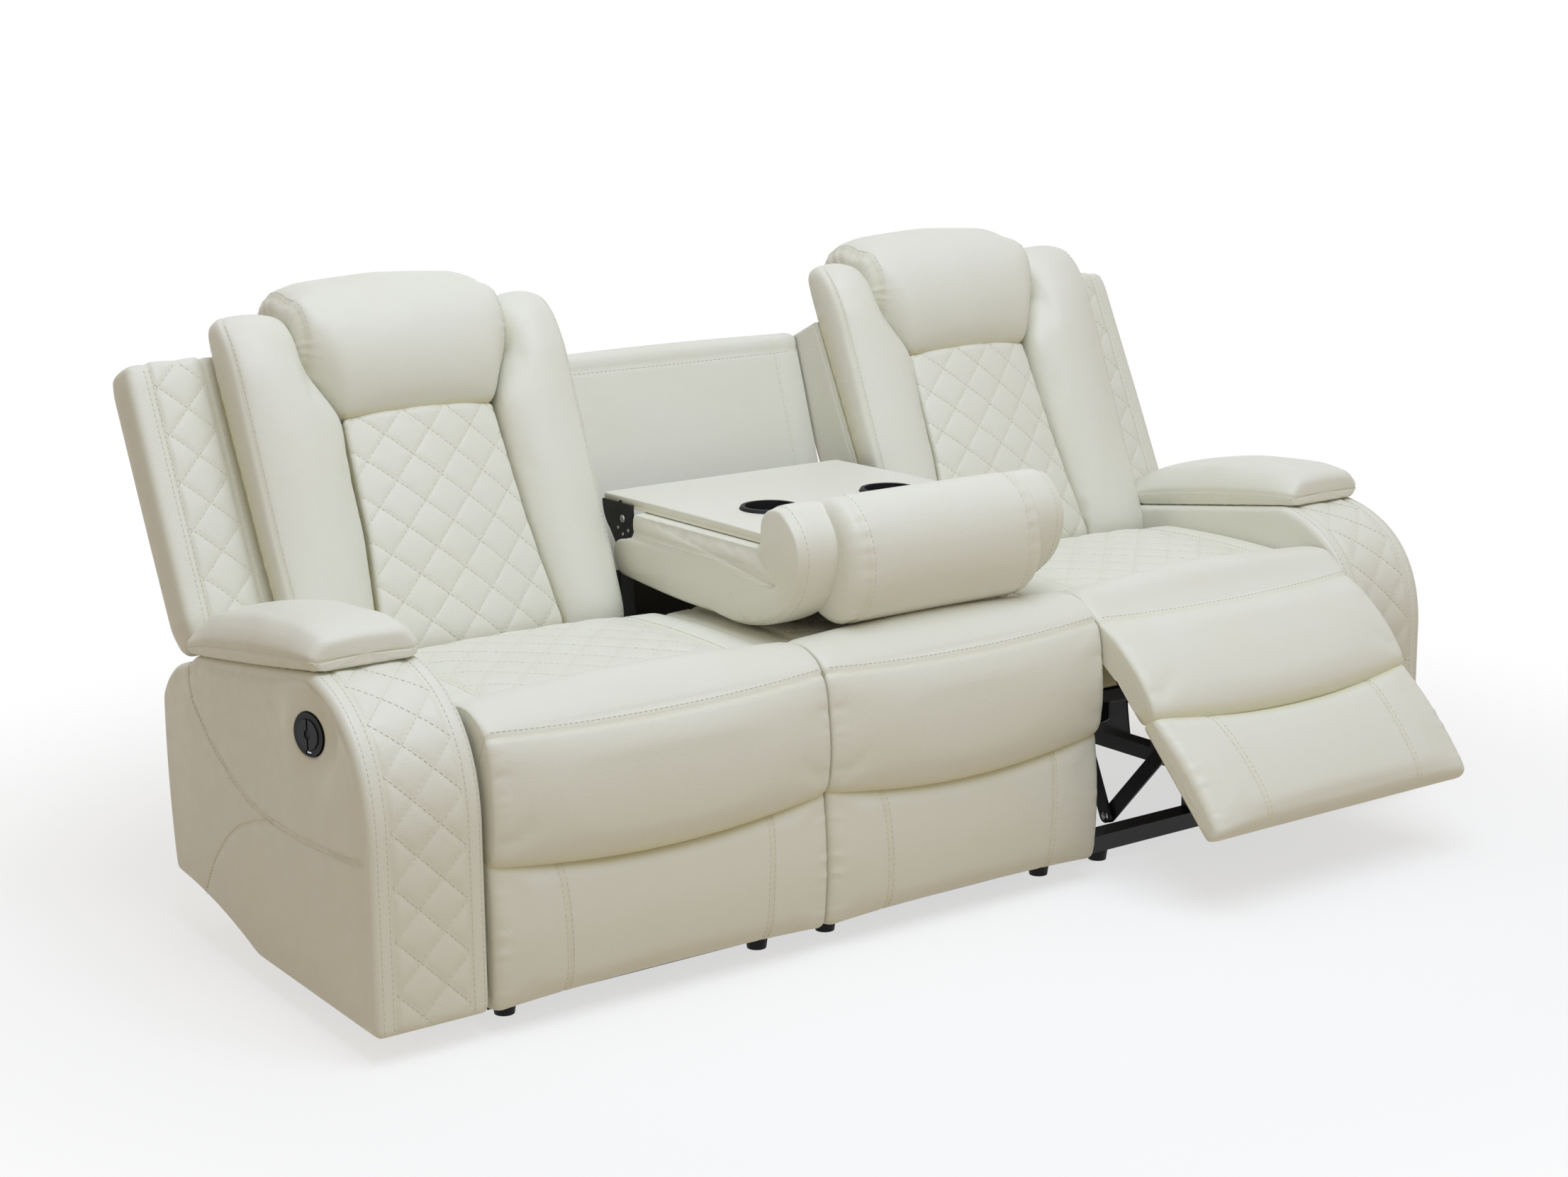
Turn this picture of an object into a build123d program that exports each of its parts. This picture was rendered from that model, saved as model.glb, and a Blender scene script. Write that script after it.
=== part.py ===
from build123d import *
import math
import os

# Three-seat power reclining sofa. Millimetres; X to the right as seen from the front, Y to the back, Z up.
# The end seats are drawn on the right side and mirrored to the left.

# Widths
seat_width = 590.0
centre_width = 550.0
side_gap = 6.0
arm_width = 180.0
arm_taper = 29.0

# Heights and depths
seat_height = 440.0
seat_depth = 508.0
front_y = -508.0
cushion_thickness = 142.0
seat_crown = 24.0
deck_thickness = 20.0

# Base
foot_height = 20.0
foot_diameter = 36.0
rail_height = 28.0
rail_depth = 40.0
rail_wall = 3.0
side_rail_width = 30.0
plate_thickness = 4.0
base_front_set_back = 63.0
base_rear_reach = 187.0

# Backs of the end seats
back_lean = 25.5
back_height = 580.0
back_thickness = 160.0
bolster_depth = 64.0
headrest_rise = 74.0
headrest_drop = 196.0
headrest_half_width = 184.0
quilt_half_top = 134.0
quilt_half_foot = 160.0
wing_width = 151.0
wing_thickness = 74.0
wing_height = 545.0
wing_foot = 74.0
pivot_back = 95.0
pivot_drop = 140.0

# Arms
arm_set_back = 3.0
arm_foot_z = 41.0
arm_rise = 85.0
arm_nose_depth = 170.0
arm_front_straight = 285.0
arm_sole = 405.0
arm_slope = 8.1
pad_length = 420.0
pad_thickness = 66.0

# Footrest: hinged at the front seam of the seat
upper_pad_length = 184.0
lower_pad_length = 212.0
pad_depth = 38.0
pad_swell = 18.0
board_thickness = 13.0
right_footrest_open = 44.0
footrest_range = 80.0

# Footrest links: a parallelogram of the hinge, the torque tube and two link ends
link_drop = 185.0
tube_set_back = 168.0
tube_drop = 28.0
link_thickness = 5.0
link_width = 26.0
pin_diameter = 12.0
pin_clearance = 0.05
link_gap = 2.0
crank_reach = 45.0
crank_drop = 70.0
tube_diameter = 28.0
drive_pin_diameter = 10.0

# Actuator
track_width = 32.0
track_height = 26.0
motor_diameter = 62.0
motor_length = 110.0

# Centre table
table_rise = 176.0
table_rear_reach = 155.0
table_half_width = 245.0
table_board = 20.0
table_board_length = 480.0
table_pivot_back = 70.0
table_pivot_rise = 65.0
table_foot_rise = 30.0
nose_reach = 595.0
nose_rise = 46.0
belly_reach = 260.0
table_headrest_half = 168.0
table_headrest_rise = 26.0
cup_x = 122.0
cup_reach = 305.0
cup_diameter = 90.0
cup_bore = 78.0
cup_depth = 66.0
cup_wall = 3.0
rear_panel_lean = 18.0
rear_panel_rise = 380.0
rear_panel_thickness = 56.0
rear_panel_clearance = 14.0

# Controls in the outer sides of the arms
control_set_back = 175.0
control_drop = 88.0
control_turn = 12.0
control_diameter = 62.5
control_depth = 18.0
control_proud = 2.5
button_radius = 22.0
button_hub = 7.0
button_gap = 0.6
button_thickness = 6.0
button_proud = 1.5
button_travel = 2.0

# Places worked out from the sizes above
centre_half = centre_width / 2
seat_x = centre_half + seat_width / 2
seat_half = seat_width / 2 - side_gap
arm_inner = centre_half + seat_width + 2
arm_outer = arm_inner + arm_width
rail_top = foot_height + rail_height
deck_top = seat_height - cushion_thickness
deck_bottom = deck_top - deck_thickness
plate_inner_x = centre_half + 77
plate_outer_x = arm_inner - 68
mech_x = (plate_inner_x + plate_outer_x) / 2
centre_rail_x = centre_half - 54
hinge_y = front_y
hinge_z = seat_height - 3
back_y = front_y + seat_depth
pivot_y = back_y + pivot_back
pivot_z = seat_height - pivot_drop
arm_front_y = front_y + arm_set_back
arm_top_front_y = arm_front_y + arm_nose_depth
arm_top_front_z = seat_height + arm_rise
control_y = arm_front_y + control_set_back
control_z = arm_top_front_z - control_drop
tube_y = front_y + tube_set_back
table_top_z = seat_height + table_rise
table_rear_y = back_y + table_rear_reach
table_pivot_y = back_y + table_pivot_back
table_pivot_z = seat_height + table_pivot_rise
table_foot_z = seat_height + table_foot_rise
nose_y = table_rear_y - nose_reach
nose_top_z = table_top_z + nose_rise
cup_y = table_rear_y - cup_reach
rear_panel_top = seat_height + rear_panel_rise
base_front_y = front_y + base_front_set_back
base_rear_y = back_y + base_rear_reach
tube_z = deck_bottom - tube_drop
nodes = {}


def keep(name, *solids):
    nodes[name] = list(solids)


# An outline is a list of (u, v, swell); swell bows the edge that starts there outwards at its middle.
def loop(outline, place):
    pairs = list(zip(outline, outline[1:] + outline[:1]))
    area = sum(a[0] * b[1] - b[0] * a[1] for a, b in pairs)
    turn = 1 if area > 0 else -1
    edges = []
    for a, b in pairs:
        start = place(a[0], a[1])
        end = place(b[0], b[1])
        swell = a[2] if len(a) > 2 else 0
        if swell == 0:
            edges.append(Edge.make_line(start, end))
            continue
        length = math.hypot(b[0] - a[0], b[1] - a[1])
        middle_u = (a[0] + b[0]) / 2 + turn * swell * (b[1] - a[1]) / length
        middle_v = (a[1] + b[1]) / 2 - turn * swell * (b[0] - a[0]) / length
        edges.append(Edge.make_three_point_arc(start, place(middle_u, middle_v), end))
    return Wire(edges)


def prism(x0, x1, outline):
    face = Face(loop(outline, lambda y, z: (x0, y, z)))
    return Solid.extrude(face, Vector(x1 - x0, 0, 0))


def block(x0, x1, y0, y1, z0, z1):
    return prism(x0, x1, [(y0, z0), (y1, z0), (y1, z1), (y0, z1)])


def rod(x0, x1, y, z, diameter):
    base = Plane(origin=(x0, y, z), x_dir=(0, 1, 0), z_dir=(1, 0, 0))
    return Solid.make_cylinder(diameter / 2, x1 - x0, base)


# Draws an outline in towards the middle of its box; a flat side named as u_still or v_still stays where it is.
def drawn_in(outline, inset, u_still=None, v_still=None):
    shrunk = []
    for axis, still in ((0, u_still), (1, v_still)):
        values = [point[axis] for point in outline]
        anchor = (min(values) + max(values)) / 2 if still is None else still
        share = 1 - 2 * inset / (max(values) - min(values))
        shrunk.append([anchor + (value - anchor) * share for value in values])
    return [(u, v, point[2]) for u, v, point in zip(shrunk[0], shrunk[1], outline)]


def loft_along_x(stations):
    return Solid.make_loft([loop(outline, lambda y, z, x=x: (x, y, z)) for x, outline in stations], True)


def loft_along_z(stations):
    return Solid.make_loft([loop(outline, lambda x, y, z=z: (x, y, z)) for z, outline in stations], True)


# A padded length along X: full in the middle, drawn in at both ends.
def padded(x0, x1, outline, ease=32.0, draw=9.0, u_still=None, v_still=None):
    half = (x1 - x0) / 2
    ends = [(0, draw), (ease * 0.3, draw * 0.5), (ease, draw * 0.2)]
    stations = [(x0 + along, inset) for along, inset in ends]
    stations += [(x0 + half, 0)]
    stations += [(x1 - along, inset) for along, inset in reversed(ends)]
    return loft_along_x([(x, drawn_in(outline, inset, u_still, v_still)) for x, inset in stations])


def mirrored(solid):
    return solid.mirror(Plane.YZ)


def turned(solid, y, z, angle):
    return solid.rotate(Axis((0, y, z), (-1, 0, 0)), angle)


def turn_point(y, z, about_y, about_z, angle):
    c = math.cos(math.radians(angle))
    s = math.sin(math.radians(angle))
    dy = y - about_y
    dz = z - about_z
    return about_y + dy * c + dz * s, about_z - dy * s + dz * c


# Base: two angle rails across, six rails front to back and twelve glides.
def angle_rail(y0, direction):
    y1 = y0 + direction * rail_wall
    y2 = y0 + direction * rail_depth
    flange = rail_top - rail_wall
    outline = [(y0, foot_height), (y1, foot_height), (y1, flange), (y2, flange), (y2, rail_top), (y0, rail_top)]
    return prism(-plate_outer_x - 40, plate_outer_x + 40, outline)


rail_places = [sign * x for x in (centre_rail_x, plate_inner_x, plate_outer_x) for sign in (-1, 1)]
side_rail_top = rail_top - rail_wall
rail_y0 = base_front_y + rail_wall
rail_y1 = base_rear_y - rail_wall
half_rail = side_rail_width / 2
keep("base_front_rail", angle_rail(base_front_y, 1))
keep("base_rear_rail", angle_rail(base_rear_y, -1))
keep(
    "base_side_rails",
    *[block(x - half_rail, x + half_rail, rail_y0, rail_y1, foot_height, side_rail_top) for x in rail_places],
)
foot_inset = rail_wall + foot_diameter / 2 + 1
feet = []
for rail_x in rail_places:
    for foot_y in (base_front_y + foot_inset, base_rear_y - foot_inset):
        sole = Plane(origin=(rail_x, foot_y, 0), z_dir=(0, 0, 1))
        feet.append(Solid.make_cone(foot_diameter / 2 - 3, foot_diameter / 2, foot_height, sole))
keep("glide_feet", *feet)


# Arm: a padded body whose rear shoulder is an arc about the recline pivot, so that the wing clears it.
shoulder_radius = wing_foot + 75
arm_slope_drop = math.tan(math.radians(arm_slope))
arm_rear_y = pivot_y + shoulder_radius * math.cos(math.radians(32))


def arm_top(y):
    return arm_top_front_z - (y - arm_top_front_y) * arm_slope_drop


def arm_outline():
    shoulder_y = pivot_y + 10
    shoulder_z = pivot_z + math.sqrt(shoulder_radius**2 - 10**2)
    rear_z = pivot_z + shoulder_radius * math.sin(math.radians(32))
    chord = math.hypot(arm_rear_y - shoulder_y, rear_z - shoulder_z)
    bow = shoulder_radius - math.sqrt(shoulder_radius**2 - (chord / 2) ** 2)
    top_rear_y = pivot_y - 22
    return [
        (arm_front_y, arm_foot_z, 0),
        (arm_front_y, arm_foot_z + arm_front_straight, 34),
        (arm_top_front_y, arm_top_front_z, 0),
        (top_rear_y, arm_top(top_rear_y), 3),
        (shoulder_y, shoulder_z, bow),
        (arm_rear_y, rear_z, 8),
        (arm_rear_y - 16, arm_foot_z + 56, -10),
        (arm_front_y + arm_sole, arm_foot_z + 2, 0),
    ]


def arm_section(x_front, taper, inset):
    slope = taper / (arm_rear_y - arm_front_y)
    outline = drawn_in(arm_outline(), inset)
    return loop(outline, lambda y, z: (x_front - slope * (y - arm_front_y), y, z))


arm_body = Solid.make_loft(
    [
        arm_section(arm_inner, 0, 8),
        arm_section(arm_inner + 20, 0, 1),
        arm_section(arm_inner + arm_width * 0.5, arm_taper * 0.5, 0),
        arm_section(arm_outer - 24, arm_taper, 1),
        arm_section(arm_outer - 7, arm_taper, 6),
        arm_section(arm_outer, arm_taper, 15),
    ],
    True,
)


# Control: a round housing in a pocket of the arm, its face turned a little to the front.
control_x = arm_outer - arm_taper * (control_y - arm_front_y) / (arm_rear_y - arm_front_y)
control_normal = Vector(math.cos(math.radians(control_turn)), -math.sin(math.radians(control_turn)), 0)
control_seat = Vector(control_x, control_y, control_z) + control_normal * (control_proud - control_depth)
control_plane = Plane(origin=control_seat, x_dir=control_normal.cross(Vector(0, 0, -1)), z_dir=control_normal)


def control_disc(radius, z0, z1, offset=(0, 0)):
    disc = Solid.make_cylinder(radius, z1 - z0, Plane(origin=(offset[0], offset[1], z0), z_dir=(0, 0, 1)))
    return disc


# Half ring left or right of the centre dot, between two slanted cuts.
def button_solid(side, spread, z0, z1):
    ring = control_disc(button_radius + spread, z0, z1) - control_disc(button_hub - spread, z0, z1)
    reach = button_radius * 2
    near = 1.6 - spread
    cut = [(near, -reach), (reach, -reach), (reach, reach), (near, reach)]
    face = Face(loop([(side * u, v) for u, v in cut], lambda u, v: (u, v, z0)))
    half = Solid.extrude(face, Vector(0, 0, z1 - z0))
    return (ring & half).solids()[0]


button_floor = control_depth - button_thickness - button_travel - 1.0
button_base = button_floor + button_travel + 1.0 + button_proud
bezel = control_disc(control_diameter / 2, 0, control_depth)
for side in (-1, 1):
    bezel = bezel - button_solid(side, button_gap, button_floor, control_depth + 1)
port = Solid.make_box(12.5, 4.6, 12, Plane(origin=(-6.25, -button_radius - 6.2, control_depth - 9)))
bezel = bezel - port
bezel = control_plane.location * bezel.solids()[0]
buttons = [
    control_plane.location * button_solid(side, 0, button_base, button_base + button_thickness) for side in (-1, 1)
]
pocket = control_plane.location * control_disc(control_diameter / 2 + 0.3, 0, control_depth * 3)
arm_body = (arm_body - pocket).solids()[0]

pad_front_y = arm_top_front_y - 8
pad_rear_y = pad_front_y + pad_length


# Arm pad: a pillow on the sloping arm top, thin at its ends.
def pad_section(y, thickness, inner, outer):
    floor = arm_top(y) + 0.4
    band = thickness * 0.35
    outline = [
        (inner, floor, 0),
        (outer, floor, 2),
        (outer, floor + band, thickness - band),
        (inner, floor + band, 2),
    ]
    return loop(outline, lambda x, z: (x, y, z))


arm_pad = Solid.make_loft(
    [
        pad_section(pad_front_y, pad_thickness * 0.2, arm_inner + 3, arm_outer - 24),
        pad_section(pad_front_y + 45, pad_thickness * 0.75, arm_inner, arm_outer - 12),
        pad_section(pad_front_y + pad_length * 0.45, pad_thickness, arm_inner - 1, arm_outer - 1),
        pad_section(pad_rear_y - 60, pad_thickness * 0.9, arm_inner, arm_outer - 5),
        pad_section(pad_rear_y, pad_thickness * 0.35, arm_inner + 4, arm_outer - 16),
    ],
    True,
)


# Seat cushion: crowned, with a nose over the footrest hinge.
def seat_outline(crown):
    rear_y = back_y - 38
    face_y = hinge_y + pad_depth + board_thickness + 8
    return [
        (face_y + 2, deck_top, 0),
        (face_y, seat_height - 22, 0),
        (front_y, seat_height + 1, 7),
        (front_y + 70, seat_height + crown, 5),
        (rear_y - 24, seat_height + crown * 0.5, 5),
        (rear_y, seat_height - 20, 0),
        (rear_y + 6, deck_top, 0),
    ]


# Footrest pads hang from the seam; the board behind them carries the link brackets.
def upper_pad_outline():
    top = hinge_z - 4
    foot = top - upper_pad_length + 8
    return [
        (hinge_y + 2, top, pad_swell),
        (hinge_y - 1, foot, 4),
        (hinge_y + pad_depth, foot - 1, 0),
        (hinge_y + pad_depth, top - 15, 0),
    ]


def lower_pad_outline():
    top = hinge_z - upper_pad_length - 4
    foot = top - lower_pad_length + 2
    return [
        (hinge_y, top, pad_swell * 0.5),
        (hinge_y + 4, foot, 4),
        (hinge_y + pad_depth, foot - 2, 0),
        (hinge_y + pad_depth, top, 0),
    ]


def seat_span(centre, half):
    return centre - half, centre + half


side_x0, side_x1 = seat_span(seat_x, seat_half)
pads_back = hinge_y + pad_depth
seat_cushion = padded(side_x0, side_x1, seat_outline(seat_crown), draw=5, v_still=deck_top)
upper_pad = padded(side_x0, side_x1, upper_pad_outline(), ease=36, draw=5, u_still=pads_back)
lower_pad = padded(side_x0, side_x1, lower_pad_outline(), ease=36, draw=5, u_still=pads_back)

board_back = pads_back + board_thickness
board_top = hinge_z - 32
board_foot = hinge_z - upper_pad_length - lower_pad_length + 12
footrest_board = block(side_x0 + 28, side_x1 - 28, pads_back, board_back, board_foot, board_top)

# Planes of the linkage, counted inwards from the side plates.
crank_x = plate_thickness / 2 + 18
coupler_x = crank_x + link_thickness + link_gap
bracket_x = coupler_x + link_thickness + link_gap
link_back = pad_depth + board_thickness + link_width / 2 + 5
end_y = hinge_y + link_back
end_z = hinge_z - link_drop


def link_plate(x0, y0, z0, y1, z1, holes, width=link_width):
    angle = math.atan2(z1 - z0, y1 - y0)
    ny = -math.sin(angle) * width / 2
    nz = math.cos(angle) * width / 2
    outline = [
        (y0 + ny, z0 + nz, 0),
        (y1 + ny, z1 + nz, width * 0.45),
        (y1 - ny, z1 - nz, 0),
        (y0 - ny, z0 - nz, width * 0.45),
    ]
    plate = prism(x0, x0 + link_thickness, outline)
    for hole_y, hole_z, diameter in holes:
        plate = plate - rod(x0 - 1, x0 + link_thickness + 1, hole_y, hole_z, diameter)
    return plate.solids()[0]


# The same piece at both side plates of a seat: drawn at the inner plate and mirrored about the seat mechanism.
def both_sides(solid):
    return [solid, solid.mirror(Plane(origin=(mech_x, 0, 0), z_dir=(1, 0, 0)))]


low_y = tube_y + link_back
low_z = tube_z - link_drop
bore = pin_diameter + 2 * pin_clearance
open_bore = pin_diameter + 1.0
crank = link_plate(
    plate_inner_x + crank_x, tube_y, tube_z, low_y, low_z, [(tube_y, tube_z, bore)]
)
crank_pin = rod(
    plate_inner_x + crank_x + link_thickness,
    plate_inner_x + bracket_x - link_gap / 2,
    low_y,
    low_z,
    pin_diameter,
)
crank = (crank + crank_pin).solids()[0]
coupler = link_plate(
    plate_inner_x + coupler_x,
    low_y,
    low_z,
    end_y,
    end_z,
    [(low_y, low_z, open_bore), (end_y, end_z, bore)],
)
bracket_outline = [
    (board_back, end_z - 26, 0),
    (end_y + 2, end_z - 13, 11),
    (end_y + 2, end_z + 13, 0),
    (board_back, end_z + 26, 0),
]
footrest_bracket = prism(
    plate_inner_x + bracket_x, plate_inner_x + bracket_x + plate_thickness, bracket_outline
)
bracket_pin = rod(
    plate_inner_x + coupler_x - link_gap / 2, plate_inner_x + bracket_x, end_y, end_z, pin_diameter
)
footrest_bracket = (footrest_bracket + bracket_pin).solids()[0]

# Torque tube with its end pins in the side plates and a drive crank in the middle.
tube_x0 = plate_inner_x + crank_x + link_thickness
tube_x1 = 2 * mech_x - tube_x0
tube_end = plate_inner_x - plate_thickness / 2 - 2
torque_tube = rod(tube_x0, tube_x1, tube_y, tube_z, tube_diameter)
torque_tube = torque_tube + rod(tube_end, 2 * mech_x - tube_end, tube_y, tube_z, pin_diameter)
crank_end_y = tube_y + crank_reach
crank_end_z = tube_z - crank_drop
drive_crank = link_plate(mech_x - link_thickness / 2, tube_y, tube_z, crank_end_y, crank_end_z, [], 22)
drive_pin_half = link_thickness / 2 + 10
drive_pin = rod(mech_x - drive_pin_half, mech_x + drive_pin_half, crank_end_y, crank_end_z, drive_pin_diameter)
torque_tube = (torque_tube + drive_crank + drive_pin).solids()[0]

# Side plates with a rear ear at the recline pivot, on front and rear legs that stand on the side rails.
plate_front_y = board_back + 9
tube_boss = 26
plate_outline = [
    (plate_front_y, deck_bottom, 0),
    (pivot_y - 40, deck_bottom, -4),
    (pivot_y - 20, pivot_z + 18, 12),
    (pivot_y + 25, pivot_z + 8, 6),
    (pivot_y + 14, pivot_z - 26, 0),
    (pivot_y - 50, deck_bottom - 58, 0),
    (tube_y + 60, deck_bottom - 62, 4),
    (tube_y - 30, tube_z - tube_boss, 6),
    (plate_front_y, deck_bottom - 30, 0),
]
plate_x0 = plate_inner_x - plate_thickness / 2
side_plate = prism(plate_x0, plate_x0 + plate_thickness, plate_outline)
side_plate = side_plate - rod(plate_x0 - 1, plate_x0 + plate_thickness + 1, tube_y, tube_z, bore)
side_plate = side_plate - rod(plate_x0 - 1, plate_x0 + plate_thickness + 1, pivot_y, pivot_z, bore)
side_plate = side_plate.solids()[0]


def leg(y, width, top):
    x0 = plate_x0 - plate_thickness
    outline = [
        (y - width * 0.7, side_rail_top, 0),
        (y + width * 0.7, side_rail_top, -6),
        (y + width * 0.45, top, 8),
        (y - width * 0.45, top, -6),
    ]
    return prism(x0, x0 + plate_thickness, outline)


front_leg = leg(tube_y + 75, 60, deck_bottom - 25)
rear_leg = leg(pivot_y - 75, 60, deck_bottom - 20)

# Actuator: a track from the front rail to a gear housing on the rear rail, with the motor beside it.
crank_radius = math.hypot(crank_reach, crank_drop)
track_top = tube_z - crank_radius - 30
track_z = track_top - track_height
track_y0 = base_front_y + 4
track_y1 = base_rear_y - 120
half_track = track_width / 2
track = block(mech_x - half_track, mech_x + half_track, track_y0, track_y1, track_z, track_top)
track_foot = block(
    mech_x - half_track, mech_x + half_track, track_y0, track_y0 + rail_depth - 8, rail_top, track_z
)
track = (track + track_foot).solids()[0]
housing_half = 34
housing_outline = [
    (track_y1, track_z - 22, 0),
    (base_rear_y - 36, track_z - 22, 0),
    (base_rear_y - 30, rail_top, 0),
    (base_rear_y - 6, rail_top, 0),
    (base_rear_y - 6, track_top + 10, 0),
    (base_rear_y - 30, track_top + 34, 5),
    (track_y1, track_top + 34, 0),
]
housing = prism(mech_x - housing_half, mech_x + housing_half, housing_outline)
motor_y = track_y1 + 50
motor_z = track_z + 14
motor = rod(mech_x + housing_half, mech_x + housing_half + motor_length, motor_y, motor_z, motor_diameter)
motor_cap = rod(
    mech_x + housing_half + motor_length,
    mech_x + housing_half + motor_length + 12,
    motor_y,
    motor_z,
    motor_diameter - 16,
)
housing = (housing + motor + motor_cap).solids()[0]

# Carriage: a shoe on the track with two forked ears round the drive pin.
shoe_half = 24
fork_gap = link_thickness / 2 + 2.5
ear_top = crank_end_z + 20
shoe_floor = track_top + 0.3
ear_floor = shoe_floor + 10
carriage = block(
    mech_x - half_track, mech_x + half_track, crank_end_y - shoe_half, crank_end_y + shoe_half, shoe_floor, ear_floor
)
fork_half = 20
fork_floor = tube_z - crank_radius - drive_pin_diameter / 2 - 3
fork_open = 10
fork_outline = [
    (crank_end_y - fork_half, ear_floor),
    (crank_end_y + fork_half, ear_floor),
    (crank_end_y + fork_half, ear_top),
    (crank_end_y + fork_open, ear_top),
    (crank_end_y + fork_open, fork_floor),
    (crank_end_y - fork_open, fork_floor),
    (crank_end_y - fork_open, ear_top),
    (crank_end_y - fork_half, ear_top),
]
for side in (-1, 1):
    ear_x = sorted((mech_x + side * fork_gap, mech_x + side * (fork_gap + 4)))
    carriage = carriage + prism(ear_x[0], ear_x[1], fork_outline)
carriage = carriage.solids()[0]

# Back of an end seat, drawn upright with Y as depth and Z as height above the seat, then leaned back.
frame_front = bolster_depth
frame_top = back_height - 102
frame_foot = -60
frame_x0 = side_x0 + 3
frame_x1 = seat_x + seat_half + side_gap - 4
back_frame = prism(
    frame_x0,
    frame_x1,
    [
        (frame_front, frame_foot, 0),
        (frame_front, frame_top, 0),
        (back_thickness, frame_top, 0),
        (back_thickness, frame_foot + 40, 0),
        (back_thickness - 30, frame_foot, 0),
    ],
)
local_y, local_z = turn_point(pivot_y, pivot_z, back_y, seat_height, -back_lean)
local_y -= back_y
local_z -= seat_height
ear_x0 = plate_inner_x + plate_thickness / 2 + link_gap
ear_outline = [
    (local_y - 58, frame_foot, 0),
    (back_thickness - 31, frame_foot, 4),
    (local_y + 20, local_z + 6, 9),
    (local_y + 4, local_z - 20, 9),
    (local_y - 20, local_z - 12, 0),
]
back_ear = prism(ear_x0, ear_x0 + link_thickness, ear_outline)
back_pin = rod(plate_x0 - 2, ear_x0, local_y, local_z, pin_diameter)
back_ear = (back_ear + back_pin).solids()[0]


def bolster_section(inner, side, front):
    return [
        (seat_x + inner, bolster_depth, 0),
        (seat_x + inner, front + 10, 17),
        (seat_x + side, front + 6, 2),
        (seat_x + side, bolster_depth, 0),
    ]


panel_gap = 4
headrest_foot = back_height - headrest_drop
bolster = loft_along_z(
    [
        (-35, bolster_section(quilt_half_foot + panel_gap, seat_half - 6, 30)),
        (12, bolster_section(quilt_half_foot + panel_gap, seat_half - 1, 8)),
        (headrest_foot * 0.5, bolster_section((quilt_half_foot + quilt_half_top) / 2 - 2, seat_half, 3)),
        (headrest_foot, bolster_section(quilt_half_top + 7, seat_half, 3)),
        (headrest_foot + 88, bolster_section(headrest_half_width + 4, seat_half - 1, 8)),
        (back_height - 36, bolster_section(headrest_half_width + 9, seat_half - 5, 22)),
        (back_height - 12, bolster_section(headrest_half_width + 14, seat_half - 10, 34)),
        (back_height, bolster_section(headrest_half_width + 22, seat_half - 18, 46)),
    ]
)
other_bolster = bolster.mirror(Plane(origin=(seat_x, 0, 0), z_dir=(1, 0, 0)))


def quilt_section(half, front):
    return [
        (seat_x - half, bolster_depth, 0),
        (seat_x - half, front + 4, 10),
        (seat_x + half, front + 4, 0),
        (seat_x + half, bolster_depth, 0),
    ]


quilt_panel = loft_along_z(
    [
        (-35, quilt_section(quilt_half_foot, 34)),
        (14, quilt_section(quilt_half_foot, 16)),
        (headrest_foot * 0.5, quilt_section((quilt_half_foot + quilt_half_top) / 2 - 8, 13)),
        (headrest_foot - 6, quilt_section(quilt_half_top, 16)),
    ]
)


# Headrest: a roll over the top of the back, narrower at its foot.
def headrest_outline(foot, inset):
    crest = back_height + headrest_rise
    rear = back_thickness + 12 - inset * 0.5
    front = -44 + inset
    return [
        (frame_front, foot, 0),
        (front + 46, foot - 2, 12),
        (front, (foot + crest) / 2 - 10, 14),
        (front + 44, crest - 36 - inset * 0.6, 13),
        (back_thickness - 48, crest - inset * 0.8, 12),
        (rear, crest - 66 - inset * 0.4, 6),
        (rear - 6, frame_top, 0),
        (frame_front, frame_top, 0),
    ]


headrest_ends = [
    (headrest_half_width, headrest_foot + 84, 34),
    (headrest_half_width - 14, headrest_foot + 62, 12),
    (headrest_half_width - 52, headrest_foot + 3, 2),
]
headrest_stations = [(seat_x - x, headrest_outline(foot, inset)) for x, foot, inset in headrest_ends]
headrest_stations += [(seat_x, headrest_outline(headrest_foot + 3, -4))]
headrest_stations += [(seat_x + x, headrest_outline(foot, inset)) for x, foot, inset in reversed(headrest_ends)]
headrest = loft_along_x(headrest_stations)


# Wing: a quilted side piece beside the back, above the arm.
def wing_section(inset):
    front = back_thickness - 4 - wing_thickness
    return [
        (frame_x1, front + inset * 0.4, 8),
        (frame_x1 + wing_width - inset, front + inset, 6),
        (frame_x1 + wing_width - inset, back_thickness - 4 - inset * 0.5, 0),
        (frame_x1, back_thickness - 4, 0),
    ]


wing = loft_along_z(
    [
        (wing_foot, wing_section(10)),
        (wing_foot + 40, wing_section(1)),
        (wing_height * 0.5, wing_section(0)),
        (wing_height - 40, wing_section(3)),
        (wing_height, wing_section(22)),
    ]
)


def leaned(solid):
    return turned(solid, 0, 0, back_lean).moved(Location((0, back_y, seat_height)))


# The carriage keeps pace with the drive pin from closed to fully open.
carriage_travel = 2 * crank_radius * math.sin(math.radians(footrest_range / 2))
seat_deck = block(side_x0 + 16, arm_inner, plate_front_y, back_y + 40, deck_bottom, deck_top)

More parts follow.
